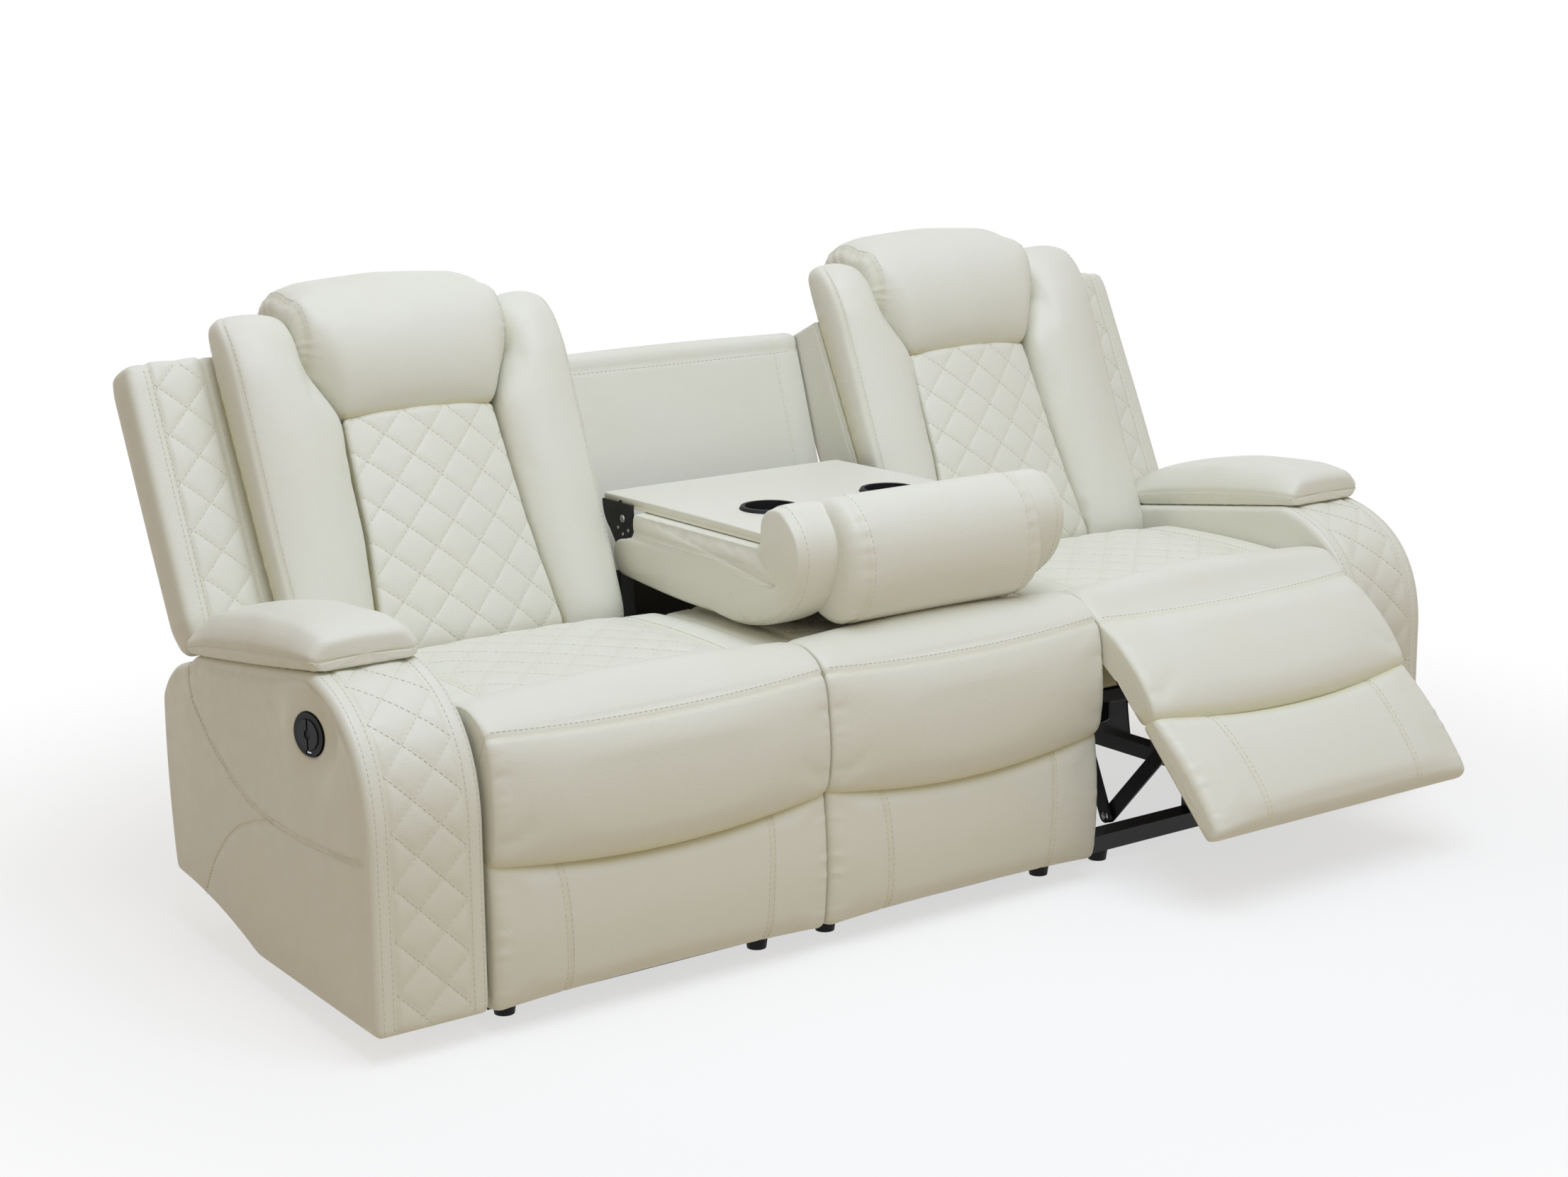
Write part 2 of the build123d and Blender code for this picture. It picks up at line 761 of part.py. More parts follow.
# The end seats, right then left; the right footrest stands part open, as does everything that follows it.
for side_name, place, opened in (("right", lambda s: s, right_footrest_open), ("left", mirrored, 0.0)):
    def swung(solid):
        return place(turned(solid, hinge_y, hinge_z, opened))

    def cranked(solid):
        return place(turned(solid, tube_y, tube_z, opened))

    # The couplers keep their direction as the footrest turns, so they only shift.
    end_now = turn_point(end_y, end_z, hinge_y, hinge_z, opened)
    shift = Location((0, end_now[0] - end_y, end_now[1] - end_z))
    travel = carriage_travel * opened / footrest_range
    keep(side_name + "_arm", place(arm_body))
    keep(side_name + "_arm_pad", place(arm_pad))
    keep(side_name + "_control_bezel", place(bezel))
    keep(side_name + "_open_button", place(buttons[0]))
    keep(side_name + "_close_button", place(buttons[1]))
    keep(side_name + "_seat_deck", place(seat_deck))
    keep(side_name + "_seat_cushion", place(seat_cushion))
    plates = both_sides(side_plate) + both_sides(front_leg) + both_sides(rear_leg)
    keep(side_name + "_mechanism_plates", *[place(piece) for piece in plates])
    keep(side_name + "_actuator_track", place(track))
    keep(side_name + "_actuator_motor", place(housing))
    keep(side_name + "_actuator_carriage", place(carriage.moved(Location((0, -travel, 0)))))
    keep(side_name + "_torque_tube", cranked(torque_tube))
    keep(side_name + "_crank_links", *[cranked(piece) for piece in both_sides(crank)])
    keep(side_name + "_coupler_links", *[place(piece.moved(shift)) for piece in both_sides(coupler)])
    board_pieces = [footrest_board] + both_sides(footrest_bracket)
    keep(side_name + "_footrest_board", *[swung(piece) for piece in board_pieces])
    keep(side_name + "_footrest_upper_pad", swung(upper_pad))
    keep(side_name + "_footrest_lower_pad", swung(lower_pad))
    keep(side_name + "_back_frame", *[place(leaned(piece)) for piece in [back_frame] + both_sides(back_ear)])
    keep(side_name + "_back_bolsters", place(leaned(bolster)), place(leaned(other_bolster)))
    keep(side_name + "_back_panel", place(leaned(quilt_panel)))
    keep(side_name + "_headrest", place(leaned(headrest)))
    keep(side_name + "_wing", place(leaned(wing)))

# Centre seat: two upright boards on the rails carry the deck, the fixed front panels and the rear panel.
centre_x1 = centre_half - side_gap
board_half = 9
rear_reach = table_pivot_y + 40
uprights = [
    block(x - board_half, x + board_half, pads_back, rear_reach, side_rail_top, deck_bottom)
    for x in (-centre_rail_x, centre_rail_x)
]
for number, board in enumerate(uprights):
    notch = block(-seat_x, seat_x, base_front_y - 1, base_front_y + rail_depth + 1, 0, rail_top + 0.5)
    uprights[number] = (board - notch).solids()[0]
centre_deck = block(-centre_x1 + 4, centre_x1 - 4, plate_front_y, rear_reach, deck_bottom, deck_top)
keep("centre_seat_frame", centre_deck, *uprights)
centre_cushion = padded(-centre_x1, centre_x1, seat_outline(seat_crown - 8), draw=5, v_still=deck_top)
keep("centre_seat_cushion", centre_cushion)
keep(
    "centre_front_panels",
    padded(-centre_x1, centre_x1, upper_pad_outline(), ease=36, draw=5, u_still=pads_back),
    padded(-centre_x1, centre_x1, lower_pad_outline(), ease=36, draw=5, u_still=pads_back),
)

# Fixed rear panel, leaning, with its foot flat on the centre rails behind the uprights.
lean_slope = math.tan(math.radians(rear_panel_lean))
table_reach = math.hypot(table_rear_y - table_pivot_y, table_top_z - table_pivot_z)
panel_face_y = table_pivot_y + table_reach + rear_panel_clearance


def panel_y(z, back):
    return panel_face_y + (z - table_pivot_z) * lean_slope + back


rear_panel = prism(
    -centre_x1 + 2,
    centre_x1 - 2,
    [
        (panel_y(deck_bottom, 0), deck_bottom, 0),
        (panel_y(rear_panel_top - 6, 0), rear_panel_top - 6, 6),
        (panel_y(rear_panel_top - 12, rear_panel_thickness), rear_panel_top - 12, 0),
        (panel_y(deck_bottom, rear_panel_thickness), deck_bottom - 60, 0),
        (rear_reach + 30, side_rail_top, 0),
        (rear_reach, side_rail_top, 0),
        (rear_reach, deck_bottom, 0),
    ],
)
keep("centre_rear_panel", rear_panel)

# Fold-down table: the upholstered back lying face down, with its board on top.
board_floor = table_top_z - table_board
board_front_y = table_rear_y - table_board_length
bolster_x0 = table_headrest_half + 4
bolster_x1 = centre_half - 10
bolster_rear_y = table_pivot_y - 26


def table_bolster_outline():
    return [
        (bolster_rear_y, table_foot_z + 24, 8),
        (bolster_rear_y, board_floor, 0),
        (board_front_y, board_floor, 0),
        (board_front_y, table_top_z + 18, 12),
        (nose_y + 30, nose_top_z - 8, 14),
        (nose_y, (nose_top_z + table_foot_z) / 2, 16),
        (nose_y + 80, table_foot_z + 12, 14),
        (nose_y + belly_reach, table_foot_z, 4),
    ]


def table_headrest_outline():
    crest = nose_top_z + table_headrest_rise
    return [
        (board_front_y, board_floor - 70, 0),
        (board_front_y, table_top_z + 20, 12),
        (nose_y + 36, crest - 10, 20),
        (nose_y - 28, (crest + table_foot_z) / 2, 26),
        (nose_y + 40, table_foot_z + 4, 10),
    ]


cup_hole = cup_diameter - 2 * cup_wall + 3
cup_floor = table_top_z - cup_depth


def cup_well(x):
    plane = Plane(origin=(x, cup_y, cup_floor - 4), z_dir=(0, 0, 1))
    return Solid.make_cylinder(cup_hole / 2, table_top_z - cup_floor + 10, plane)


wells = [cup_well(-cup_x), cup_well(cup_x)]
roll_rear_y = board_front_y
table_bolster = padded(
    bolster_x0, bolster_x1, table_bolster_outline(), 24, 7, u_still=roll_rear_y, v_still=board_floor
)
table_bolster = (table_bolster - wells[1]).solids()[0]
keep("table_bolsters", table_bolster, mirrored(table_bolster))
table_roll = padded(
    -table_headrest_half, table_headrest_half, table_headrest_outline(), 30, 8, u_still=roll_rear_y
)
keep("table_headrest", table_roll)
table_panel_rear = table_pivot_y + 15
panel_outline = [
    (table_panel_rear, board_floor - 92, 0),
    (table_panel_rear, board_floor, 0),
    (board_front_y + 2, board_floor, 0),
    (board_front_y + 2, board_floor - 92, 9),
]
table_panel = prism(-table_headrest_half, table_headrest_half, panel_outline)
table_panel = (table_panel - wells[0] - wells[1]).solids()[0]
keep("table_back_panel", table_panel)
board_outline = [
    (board_front_y, board_floor, 0),
    (table_rear_y - 4, board_floor, 0),
    (table_rear_y, board_floor + 4, 0),
    (table_rear_y, table_top_z - 4, 0),
    (table_rear_y - 4, table_top_z, 0),
    (board_front_y, table_top_z, 0),
]
table_board_solid = prism(-table_half_width, table_half_width, board_outline)
keep("table_board", (table_board_solid - wells[0] - wells[1]).solids()[0])


# Cup holder: a flanged cup standing in its hole in the board.
def cup_holder(x):
    rim = 5
    profile = [
        (0, cup_floor, 0),
        (cup_hole / 2 - 6, cup_floor, 0),
        (cup_hole / 2 - 1.5, table_top_z, 0),
        (cup_diameter / 2 + 4, table_top_z, 0),
        (cup_diameter / 2 + 1, table_top_z + rim, 0),
        (cup_bore / 2 + 1, table_top_z + rim, 0),
        (cup_bore / 2 - 3, cup_floor + cup_wall, 0),
        (0, cup_floor + cup_wall, 0),
    ]
    face = Face(loop(profile, lambda r, z: (x + r, cup_y, z)))
    return Solid.revolve(face, 360, Axis((x, cup_y, 0), (0, 0, 1)))


keep("cup_holders", cup_holder(-cup_x), cup_holder(cup_x))

# Hinge arms on the table's sides turn on pins through brackets that stand on the centre deck.
arm_x0 = table_half_width + 1
hinge_arm = prism(
    arm_x0,
    arm_x0 + plate_thickness,
    [
        (table_rear_y - 6, table_top_z - 12, 0),
        (table_pivot_y - 10, table_top_z - 12, 0),
        (table_pivot_y - 18, table_pivot_z, 17),
        (table_pivot_y + 18, table_pivot_z, 0),
        (table_rear_y - 28, table_top_z - 60, 6),
    ],
)
hinge_pin = rod(arm_x0 + plate_thickness, arm_x0 + 2 * plate_thickness + 4, table_pivot_y, table_pivot_z, pin_diameter)
arm_bolt = rod(table_half_width, arm_x0, table_pivot_y + 30, board_floor + table_board * 0.3, 10)
hinge_arm = (hinge_arm + hinge_pin + arm_bolt).solids()[0]
keep("table_hinge_arms", hinge_arm, mirrored(hinge_arm))
fixed_x0 = arm_x0 + plate_thickness + 1
hinge_bracket = prism(
    fixed_x0,
    fixed_x0 + plate_thickness,
    [
        (table_pivot_y - 40, deck_top, 0),
        (table_pivot_y + 36, deck_top, -4),
        (table_pivot_y + 18, table_pivot_z, 17),
        (table_pivot_y - 18, table_pivot_z, -4),
    ],
)
hinge_bracket = hinge_bracket - rod(
    fixed_x0 - 1, fixed_x0 + plate_thickness + 1, table_pivot_y, table_pivot_z, bore
)
hinge_bracket = hinge_bracket.solids()[0]
keep("table_hinge_brackets", hinge_bracket, mirrored(hinge_bracket))

# The origin is the middle of the part's box on the floor.
boxes = [solid.bounding_box() for solids in nodes.values() for solid in solids]
middle_y = (min(box.min.Y for box in boxes) + max(box.max.Y for box in boxes)) / 2
to_origin = Location((0, -middle_y, 0))

os.makedirs("parts", exist_ok=True)
for name, solids in nodes.items():
    placed = [solid.moved(to_origin) for solid in solids]
    export_step(placed[0] if len(placed) == 1 else Compound(placed), "parts/" + name + ".step")
print("nodes", len(nodes), "shift of the origin", round(middle_y, 3))
for label, y, z in (
    ("recline pivot", pivot_y, pivot_z),
    ("footrest hinge", hinge_y, hinge_z),
    ("torque tube", tube_y, tube_z),
    ("coupler end, closed", end_y, end_z),
    ("coupler end, open", *turn_point(end_y, end_z, hinge_y, hinge_z, right_footrest_open)),
    ("table pivot", table_pivot_y, table_pivot_z),
):
    print(label, round(y - middle_y, 3), round(z, 3))
print("control", control_x, control_y - middle_y, control_z, "normal", control_normal)
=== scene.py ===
import bmesh
import bpy
import math
import numpy as np
from mathutils import Matrix, Vector
from mathutils.bvhtree import BVHTree


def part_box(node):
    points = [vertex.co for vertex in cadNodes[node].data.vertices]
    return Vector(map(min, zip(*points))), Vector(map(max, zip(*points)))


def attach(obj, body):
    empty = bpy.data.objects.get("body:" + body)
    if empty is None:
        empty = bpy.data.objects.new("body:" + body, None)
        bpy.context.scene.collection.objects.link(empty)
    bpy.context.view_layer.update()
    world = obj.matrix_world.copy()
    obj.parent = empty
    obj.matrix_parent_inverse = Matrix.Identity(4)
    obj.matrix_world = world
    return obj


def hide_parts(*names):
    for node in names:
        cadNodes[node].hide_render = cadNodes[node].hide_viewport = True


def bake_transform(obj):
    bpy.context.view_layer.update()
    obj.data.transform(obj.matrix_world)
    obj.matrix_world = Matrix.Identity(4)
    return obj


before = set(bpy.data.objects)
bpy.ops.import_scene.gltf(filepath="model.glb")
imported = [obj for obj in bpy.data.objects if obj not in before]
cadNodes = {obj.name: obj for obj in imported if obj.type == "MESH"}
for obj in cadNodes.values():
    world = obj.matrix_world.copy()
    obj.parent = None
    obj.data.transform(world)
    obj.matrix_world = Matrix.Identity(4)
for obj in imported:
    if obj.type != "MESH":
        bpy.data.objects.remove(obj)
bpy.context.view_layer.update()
scene = bpy.context.scene

# Millimetres as in the drawing: X across, Y to the back, Z up. Adding shiftY gives the frame's Y.
sofa = {
    "seatX": 570.0, "seatHalf": 289.0, "centreHalf": 269.0, "seatTop": 440.0, "railFront": -445.0,
    "hingeY": -508.0, "hingeZ": 437.0, "lean": 25.5, "rightOpen": 44.0, "quiltPitch": 77.0,
    "armInner": 867.0, "armOuter": 1047.0, "armTaper": 29.0, "armFront": -505.0, "armRear": 221.4,
}
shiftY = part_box("base_front_rail")[0].y * 1000 - sofa["railFront"]
sides = (("right", 1.0), ("left", -1.0))
stitchRuns = {}
surfaces = {}


def toFrame(points):
    return (np.asarray(points, float) + np.array([0.0, shiftY, 0.0])) / 1000.0


def hexColour(code):
    channels = [int(code[i:i + 2], 16) / 255 for i in (1, 3, 5)]
    return [c / 12.92 if c <= 0.04045 else ((c + 0.055) / 1.055) ** 2.4 for c in channels] + [1.0]


# Adds a node, or takes one that is there, with its settings and links; in_ leads the name of a socket.
def addNode(tree, kind, links=None, **settings):
    node = tree.nodes.new(kind) if isinstance(kind, str) else kind
    for key, value in settings.items():
        if key.startswith("in_"):
            socket = key[3:]
            node.inputs[int(socket) if socket.isdigit() else socket.replace("_", " ")].default_value = value
        else:
            setattr(node, key, value)
    for socket, source in (links or {}).items():
        tree.links.new(source, node.inputs[socket])
    return node


def newMaterial(name):
    material = bpy.data.materials.new(name)
    material.use_nodes = True
    tree = material.node_tree
    place = addNode(tree, "ShaderNodeTexCoord").outputs["Object"]
    return material, tree, tree.nodes["Principled BSDF"], place


# Polyurethane-coated fabric embossed with a fine pebble: satin ivory, with painted shade, a warmer and yellower
# tint, mixed in down in the seams, grooves and recesses, where it stands in for light bounced between the pads.
def fauxLeather(name, face, deep, roughness):
    material, tree, shader, place = newMaterial(name)
    pebble = addNode(tree, "ShaderNodeTexVoronoi", {"Vector": place}, in_Scale=1000 / 2.6).outputs["Distance"]
    tone = addNode(tree, "ShaderNodeTexNoise", {"Vector": place},
                   in_Scale=1000 / 140, in_Detail=3.0).outputs["Fac"]
    wrinkle = addNode(tree, "ShaderNodeTexNoise", {"Vector": place},
                      in_Scale=1000 / 22, in_Detail=4.0).outputs["Fac"]
    # Painted shade: each point's shade value from the modelling, plus a slow random drift of tone, mixes the
    # base colour toward the second, yellower colour.
    paintedShade = addNode(tree, "ShaderNodeAttribute", attribute_name="paintedShade").outputs["Fac"]
    drift = addNode(tree, "ShaderNodeMapRange", {"Value": tone}, in_1=0.3, in_2=0.7, in_3=0.0, in_4=0.08)
    depth = addNode(tree, "ShaderNodeMath", {0: paintedShade, 1: drift.outputs[0]}, operation="ADD", use_clamp=True)
    colour = addNode(tree, "ShaderNodeMix", {"Factor": depth.outputs[0]}, data_type="RGBA",
                     in_A=hexColour(face), in_B=hexColour(deep))
    gloss = addNode(tree, "ShaderNodeMapRange", {"Value": wrinkle}, in_1=0.3, in_2=0.7,
                    in_3=roughness - 0.05, in_4=roughness + 0.07)
    height = addNode(tree, "ShaderNodeMath", {0: wrinkle, 1: pebble, 2: pebble}, operation="MULTIPLY_ADD")
    bump = addNode(tree, "ShaderNodeBump", {"Height": height.outputs[0]}, in_Strength=0.22, in_Distance=0.0006)
    addNode(tree, shader, {"Base Color": colour.outputs["Result"], "Roughness": gloss.outputs[0],
                           "Normal": bump.outputs[0]}, in_IOR=1.46)
    return material


# Bonded polyester thread, a shade greyer than the hide, with a dull twist.
def sewingThread():
    material, tree, shader, place = newMaterial("polyesterThread")
    twist = addNode(tree, "ShaderNodeTexNoise", {"Vector": place}, in_Scale=1000 / 3.0).outputs["Fac"]
    tint = addNode(tree, "ShaderNodeMix", {"Factor": twist}, data_type="RGBA",
                   in_A=hexColour("#dcd9ce"), in_B=hexColour("#e9e7df"))
    addNode(tree, shader, {"Base Color": tint.outputs["Result"]}, in_Roughness=0.75)
    return material


# Powder-coated steel: near-black, a faint orange peel from the cured powder, scuffed a little paler.
def powderSteel():
    material, tree, shader, place = newMaterial("powderCoatedSteel")
    peel = addNode(tree, "ShaderNodeTexNoise", {"Vector": place},
                   in_Scale=1000 / 2.5, in_Detail=2.0).outputs["Fac"]
    scuff = addNode(tree, "ShaderNodeTexNoise", {"Vector": place}, in_Scale=1000 / 30, in_Detail=6.0,
                    in_Roughness=0.7).outputs["Fac"]
    worn = addNode(tree, "ShaderNodeMapRange", {"Value": scuff}, in_1=0.55, in_2=0.8)
    tint = addNode(tree, "ShaderNodeMix", {"Factor": worn.outputs[0]}, data_type="RGBA",
                   in_A=hexColour("#17171a"), in_B=hexColour("#2b2b2f"))
    sheen = addNode(tree, "ShaderNodeMapRange", {"Value": scuff}, in_3=0.36, in_4=0.58)
    bump = addNode(tree, "ShaderNodeBump", {"Height": peel}, in_Strength=0.2, in_Distance=0.0003)
    addNode(tree, shader, {"Base Color": tint.outputs["Result"], "Roughness": sheen.outputs[0],
                           "Normal": bump.outputs[0]})
    return material


# Moulded ABS with a spark-eroded matt face: a fine grit, and a slight blush where the melt cooled unevenly.
def mouldedPlastic(name, face, roughness):
    material, tree, shader, place = newMaterial(name)
    grit = addNode(tree, "ShaderNodeTexNoise", {"Vector": place},
                   in_Scale=1000 / 0.9, in_Detail=3.0).outputs["Fac"]
    blush = addNode(tree, "ShaderNodeTexNoise", {"Vector": place}, in_Scale=1000 / 18).outputs["Fac"]
    dark = hexColour(face)
    pale = [min(1.0, c * 1.5 + 0.002) for c in dark[:3]] + [1.0]
    tint = addNode(tree, "ShaderNodeMix", {"Factor": blush}, data_type="RGBA", in_A=dark, in_B=pale)
    bump = addNode(tree, "ShaderNodeBump", {"Height": grit}, in_Strength=0.25, in_Distance=0.0002)
    addNode(tree, shader, {"Base Color": tint.outputs["Result"], "Normal": bump.outputs[0]},
            in_Roughness=roughness, in_Specular_IOR_Level=0.3)
    return material


# Zinc-plated rivet steel: bright, with fine turned scratches.
def zincSteel():
    material, tree, shader, place = newMaterial("zincPlatedSteel")
    scratch = addNode(tree, "ShaderNodeTexNoise", {"Vector": place}, in_Scale=1000 / 1.5, in_Detail=4.0)
    rough = addNode(tree, "ShaderNodeMapRange", {"Value": scratch.outputs["Fac"]}, in_3=0.25, in_4=0.5)
    addNode(tree, shader, {"Roughness": rough.outputs[0]}, in_Base_Color=hexColour("#c3c5c8"), in_Metallic=1.0)
    return material


# Plywood coloured near-black; on the seat decks and the centre seat frame this black is painted shade for the
# dim space under the seats. Long fibres that run along X still show as a paler grain.
def plySheet(name, dark, pale):
    material, tree, shader, place = newMaterial(name)
    stretch = addNode(tree, "ShaderNodeMapping", {"Vector": place}, in_Scale=(0.06, 1.0, 1.0)).outputs[0]
    grain = addNode(tree, "ShaderNodeTexNoise", {"Vector": stretch},
                    in_Scale=1000 / 7, in_Detail=6.0).outputs["Fac"]
    tint = addNode(tree, "ShaderNodeMix", {"Factor": grain}, data_type="RGBA",
                   in_A=hexColour(dark), in_B=hexColour(pale))
    bump = addNode(tree, "ShaderNodeBump", {"Height": grain}, in_Strength=0.2, in_Distance=0.0004)
    addNode(tree, shader, {"Base Color": tint.outputs["Result"], "Normal": bump.outputs[0]}, in_Roughness=0.62)
    return material


# The second colour of the leather is its painted warm shade for seams and recesses.
hide = fauxLeather("ivoryFauxLeather", "#eae9dd", "#dfd9a8", 0.44)
thread = sewingThread()
steel = powderSteel()
plastic = mouldedPlastic("matBlackAbs", "#060607", 0.55)
buttonPlastic = mouldedPlastic("satinBlackAbs", "#09090a", 0.42)
zinc = zincSteel()
blackPly = plySheet("blackPlywood", "#15130f", "#2a2620")
print("materials ready")


def smoothStep(low, high, value):
    t = np.clip((value - low) / (high - low), 0, 1)
    return t * t * (3 - 2 * t)


def ridge(distance, width):
    return np.exp(-((distance / width) ** 2))


def grooveAt(distance, depth, width):
    return -depth * ridge(distance, width)


def arch(x, half):
    return np.cos(np.clip(x / half, -1, 1) * math.pi / 2)


def spots(x, y, z):
    return np.stack(np.broadcast_arrays(x, y, z), axis=-1).astype(float)


def flipped(points, sign):
    return points * np.array([sign, 1.0, 1.0])


def edgeLengths(outline):
    flat = np.array(outline, float)[:, :2]
    return np.hypot(*(np.roll(flat, -1, axis=0) - flat).T)


# An outline is rows of (u, v, swell); swell bows the edge that starts there outwards at its middle.
def sampleOutline(outline, counts):
    rows = np.array(outline, float)
    ends = np.roll(rows, -1, axis=0)
    turn = 1.0 if np.sum(rows[:, 0] * ends[:, 1] - ends[:, 0] * rows[:, 1]) > 0 else -1.0
    runs = []
    for a, b, n in zip(rows, ends, counts):
        s = np.arange(n) / n
        edge = b[:2] - a[:2]
        out = turn * np.array([edge[1], -edge[0]]) / max(np.hypot(*edge), 1e-6)
        runs.append(a[:2] + s[:, None] * edge + (4 * s * (1 - s) * a[2])[:, None] * out)
    return np.concatenate(runs)


def blur(values, sigma, axis, closed):
    if sigma <= 0.05:
        return values
    values = np.moveaxis(values, axis, 0)
    reach = min(int(math.ceil(3 * sigma)), len(values) - 1)
    weights = np.exp(-0.5 * (np.arange(-reach, reach + 1) / sigma) ** 2)
    weights /= weights.sum()
    if closed:
        longer = np.concatenate([values[-reach:], values, values[:reach]])
    else:
        head = 2 * values[:1] - values[1:reach + 1][::-1]
        tail = 2 * values[-1:] - values[-reach - 1:-1][::-1]
        longer = np.concatenate([head, values, tail])
    out = sum(w * longer[i:i + len(values)] for i, w in enumerate(weights))
    return np.moveaxis(out, 0, axis)


def between(stations, at, rows):
    i = np.clip(np.searchsorted(stations, at, side="right") - 1, 0, len(stations) - 2)
    f = ((at - stations[i]) / (stations[i + 1] - stations[i]))[:, None, None]
    return rows[i] * (1 - f) + rows[i + 1] * f


# Lofts outlines given at stations. Both ends turn over by a quarter round, drawn in by a share on each axis
# about the middle or about a line that keeps still, and close to a pole.
def loft(keys, step, corner, along, ends, drawn, still, capRows=3, crown=0.0, pole=None):
    places = np.array([place for place, _ in keys], float)
    longest = np.max([edgeLengths(outline) for _, outline in keys], axis=0)
    counts = [max(2, int(round(length / step))) for length in longest]
    sections = np.array([sampleOutline(outline, counts) for _, outline in keys])
    first, last = places[0], places[-1]
    even = np.linspace(first, last, max(8, int((last - first) / step) + 1))
    loops = between(places, even, sections)
    loops = blur(blur(loops, corner / step, 1, True), along / step, 0, False)
    bend = np.linspace(0, math.pi / 2, 8)[1:]
    a, b = ends
    inner = even[(even > first + a) & (even < last - b)]
    at = np.concatenate([first + a * (1 - np.sin(bend[::-1])), inner, last - b * (1 - np.sin(bend))])
    inset = np.concatenate([a * (1 - np.cos(bend[::-1])), inner * 0, b * (1 - np.cos(bend))])
    loops = between(even, at, loops)
    for axis in (0, 1):
        low, high = loops[..., axis].min(1), loops[..., axis].max(1)
        free = still[axis] is None
        middle = ((low + high) / 2 if free else np.full(len(low), still[axis]))[:, None]
        share = 1 - (2 if free else 1) * inset * drawn[axis] / np.maximum(high - low, 1e-6)
        loops[..., axis] = middle + (loops[..., axis] - middle) * share[:, None]
    grid = np.concatenate([loops, np.broadcast_to(at[:, None, None], loops.shape[:2] + (1,))], axis=2)
    caps = []
    for row, way in ((grid[0], -1.0), (grid[-1], 1.0)):
        centre = row.mean(0) if pole is None else np.array([pole[0], pole[1], row[0, 2]])
        caps.append([])
        for share in np.linspace(1, 0, capRows + 2)[1:-1]:
            rise = np.array([0, 0, way * crown * smoothStep(0, 0.5, 1 - share)])
            caps[-1].append(centre + (row - centre) * share + rise)
    grid = np.concatenate([caps[0][::-1], grid, caps[1]])
    return grid, np.concatenate([[0], np.cumsum(counts)])


# A loft across the sofa, from an outline in Y and Z that is the same all along.
def loftAcross(low, high, outline, *settings):
    grid, corner = loft([(low, outline), (high, outline)], *settings)
    return grid[..., [2, 0, 1]], corner


def outward(grid):
    around = np.roll(grid, -1, 1) - np.roll(grid, 1, 1)
    n = np.cross(around, np.gradient(grid, axis=0))
    n /= np.maximum(np.linalg.norm(n, axis=2, keepdims=True), 1e-9)
    return n if np.sum(n * (grid - grid.mean(1, keepdims=True))) >= 0 else -n


def raised(grid, height):
    return grid + outward(grid) * height[..., None]


# Diamond quilting on lines a + b and a - b, a pitch apart; gives the height and the nearness to a line.
def quilting(a, b, pillow, groove, width):
    pitch = sofa["quiltPitch"]
    p, q = (a + b) / pitch, (a - b) / pitch
    near = np.minimum(np.abs((p + 0.5) % 1 - 0.5), np.abs((q + 0.5) % 1 - 0.5)) * pitch / math.sqrt(2)
    line = ridge(near, width)
    puff = np.sqrt(np.abs(np.sin(math.pi * p) * np.sin(math.pi * q)) + 1e-9)
    return pillow * puff - groove * line, line


# Small gathers that run along a seam and die out with the distance from it.
def puckers(along, distance, depth, length, reach):
    turns = along * 2 * math.pi / length
    ripple = np.sin(turns) * (0.6 + 0.4 * np.sin(turns * 0.23 + 0.6))
    ripple = ripple + 0.6 * np.sin(turns * 1.63 + 1.7) * np.sin(turns * 0.31)
    return depth * ripple * np.exp(-np.abs(distance) / reach)


def faceList(n, m):
    i, j = np.meshgrid(np.arange(n - 1), np.arange(m), indexing="ij")
    k = (j + 1) % m
    quads = np.stack([i * m + j, i * m + k, (i + 1) * m + k, (i + 1) * m + j], axis=-1).reshape(-1, 4).tolist()
    ring = [(a, (a + 1) % m) for a in range(m)]
    first = [[n * m, b, a] for a, b in ring]
    last = [[n * m + 1, (n - 1) * m + a, (n - 1) * m + b] for a, b in ring]
    return quads + first + last


def meshFromGrid(name, points):
    n, m = points.shape[:2]
    verts = np.concatenate([points.reshape(-1, 3), [points[0].mean(0)], [points[-1].mean(0)]])
    faces = faceList(n, m)
    a, b, c = (verts[[f[i] for f in faces]] for i in range(3))
    volume = np.sum(np.cross(a, b) * c)
    quads = np.array([f for f in faces if len(f) == 4])
    volume += np.sum(np.cross(verts[quads[:, 0]], verts[quads[:, 2]]) * verts[quads[:, 3]])
    if volume < 0:
        faces = [f[::-1] for f in faces]
    mesh = bpy.data.meshes.new(name)
    mesh.from_pydata(toFrame(verts).tolist(), [], faces)
    mesh.polygons.foreach_set("use_smooth", np.ones(len(mesh.polygons), bool))
    mesh.update()
    return mesh


def newObject(name, mesh):
    piece = bpy.data.objects.new(name, mesh)
    scene.collection.objects.link(piece)
    return piece


cushioning = {"pressure": 4.0, "stride": 3, "frames": 20, "quality": 5, "tension": 12, "compression": 6,
              "bending": 0.6}


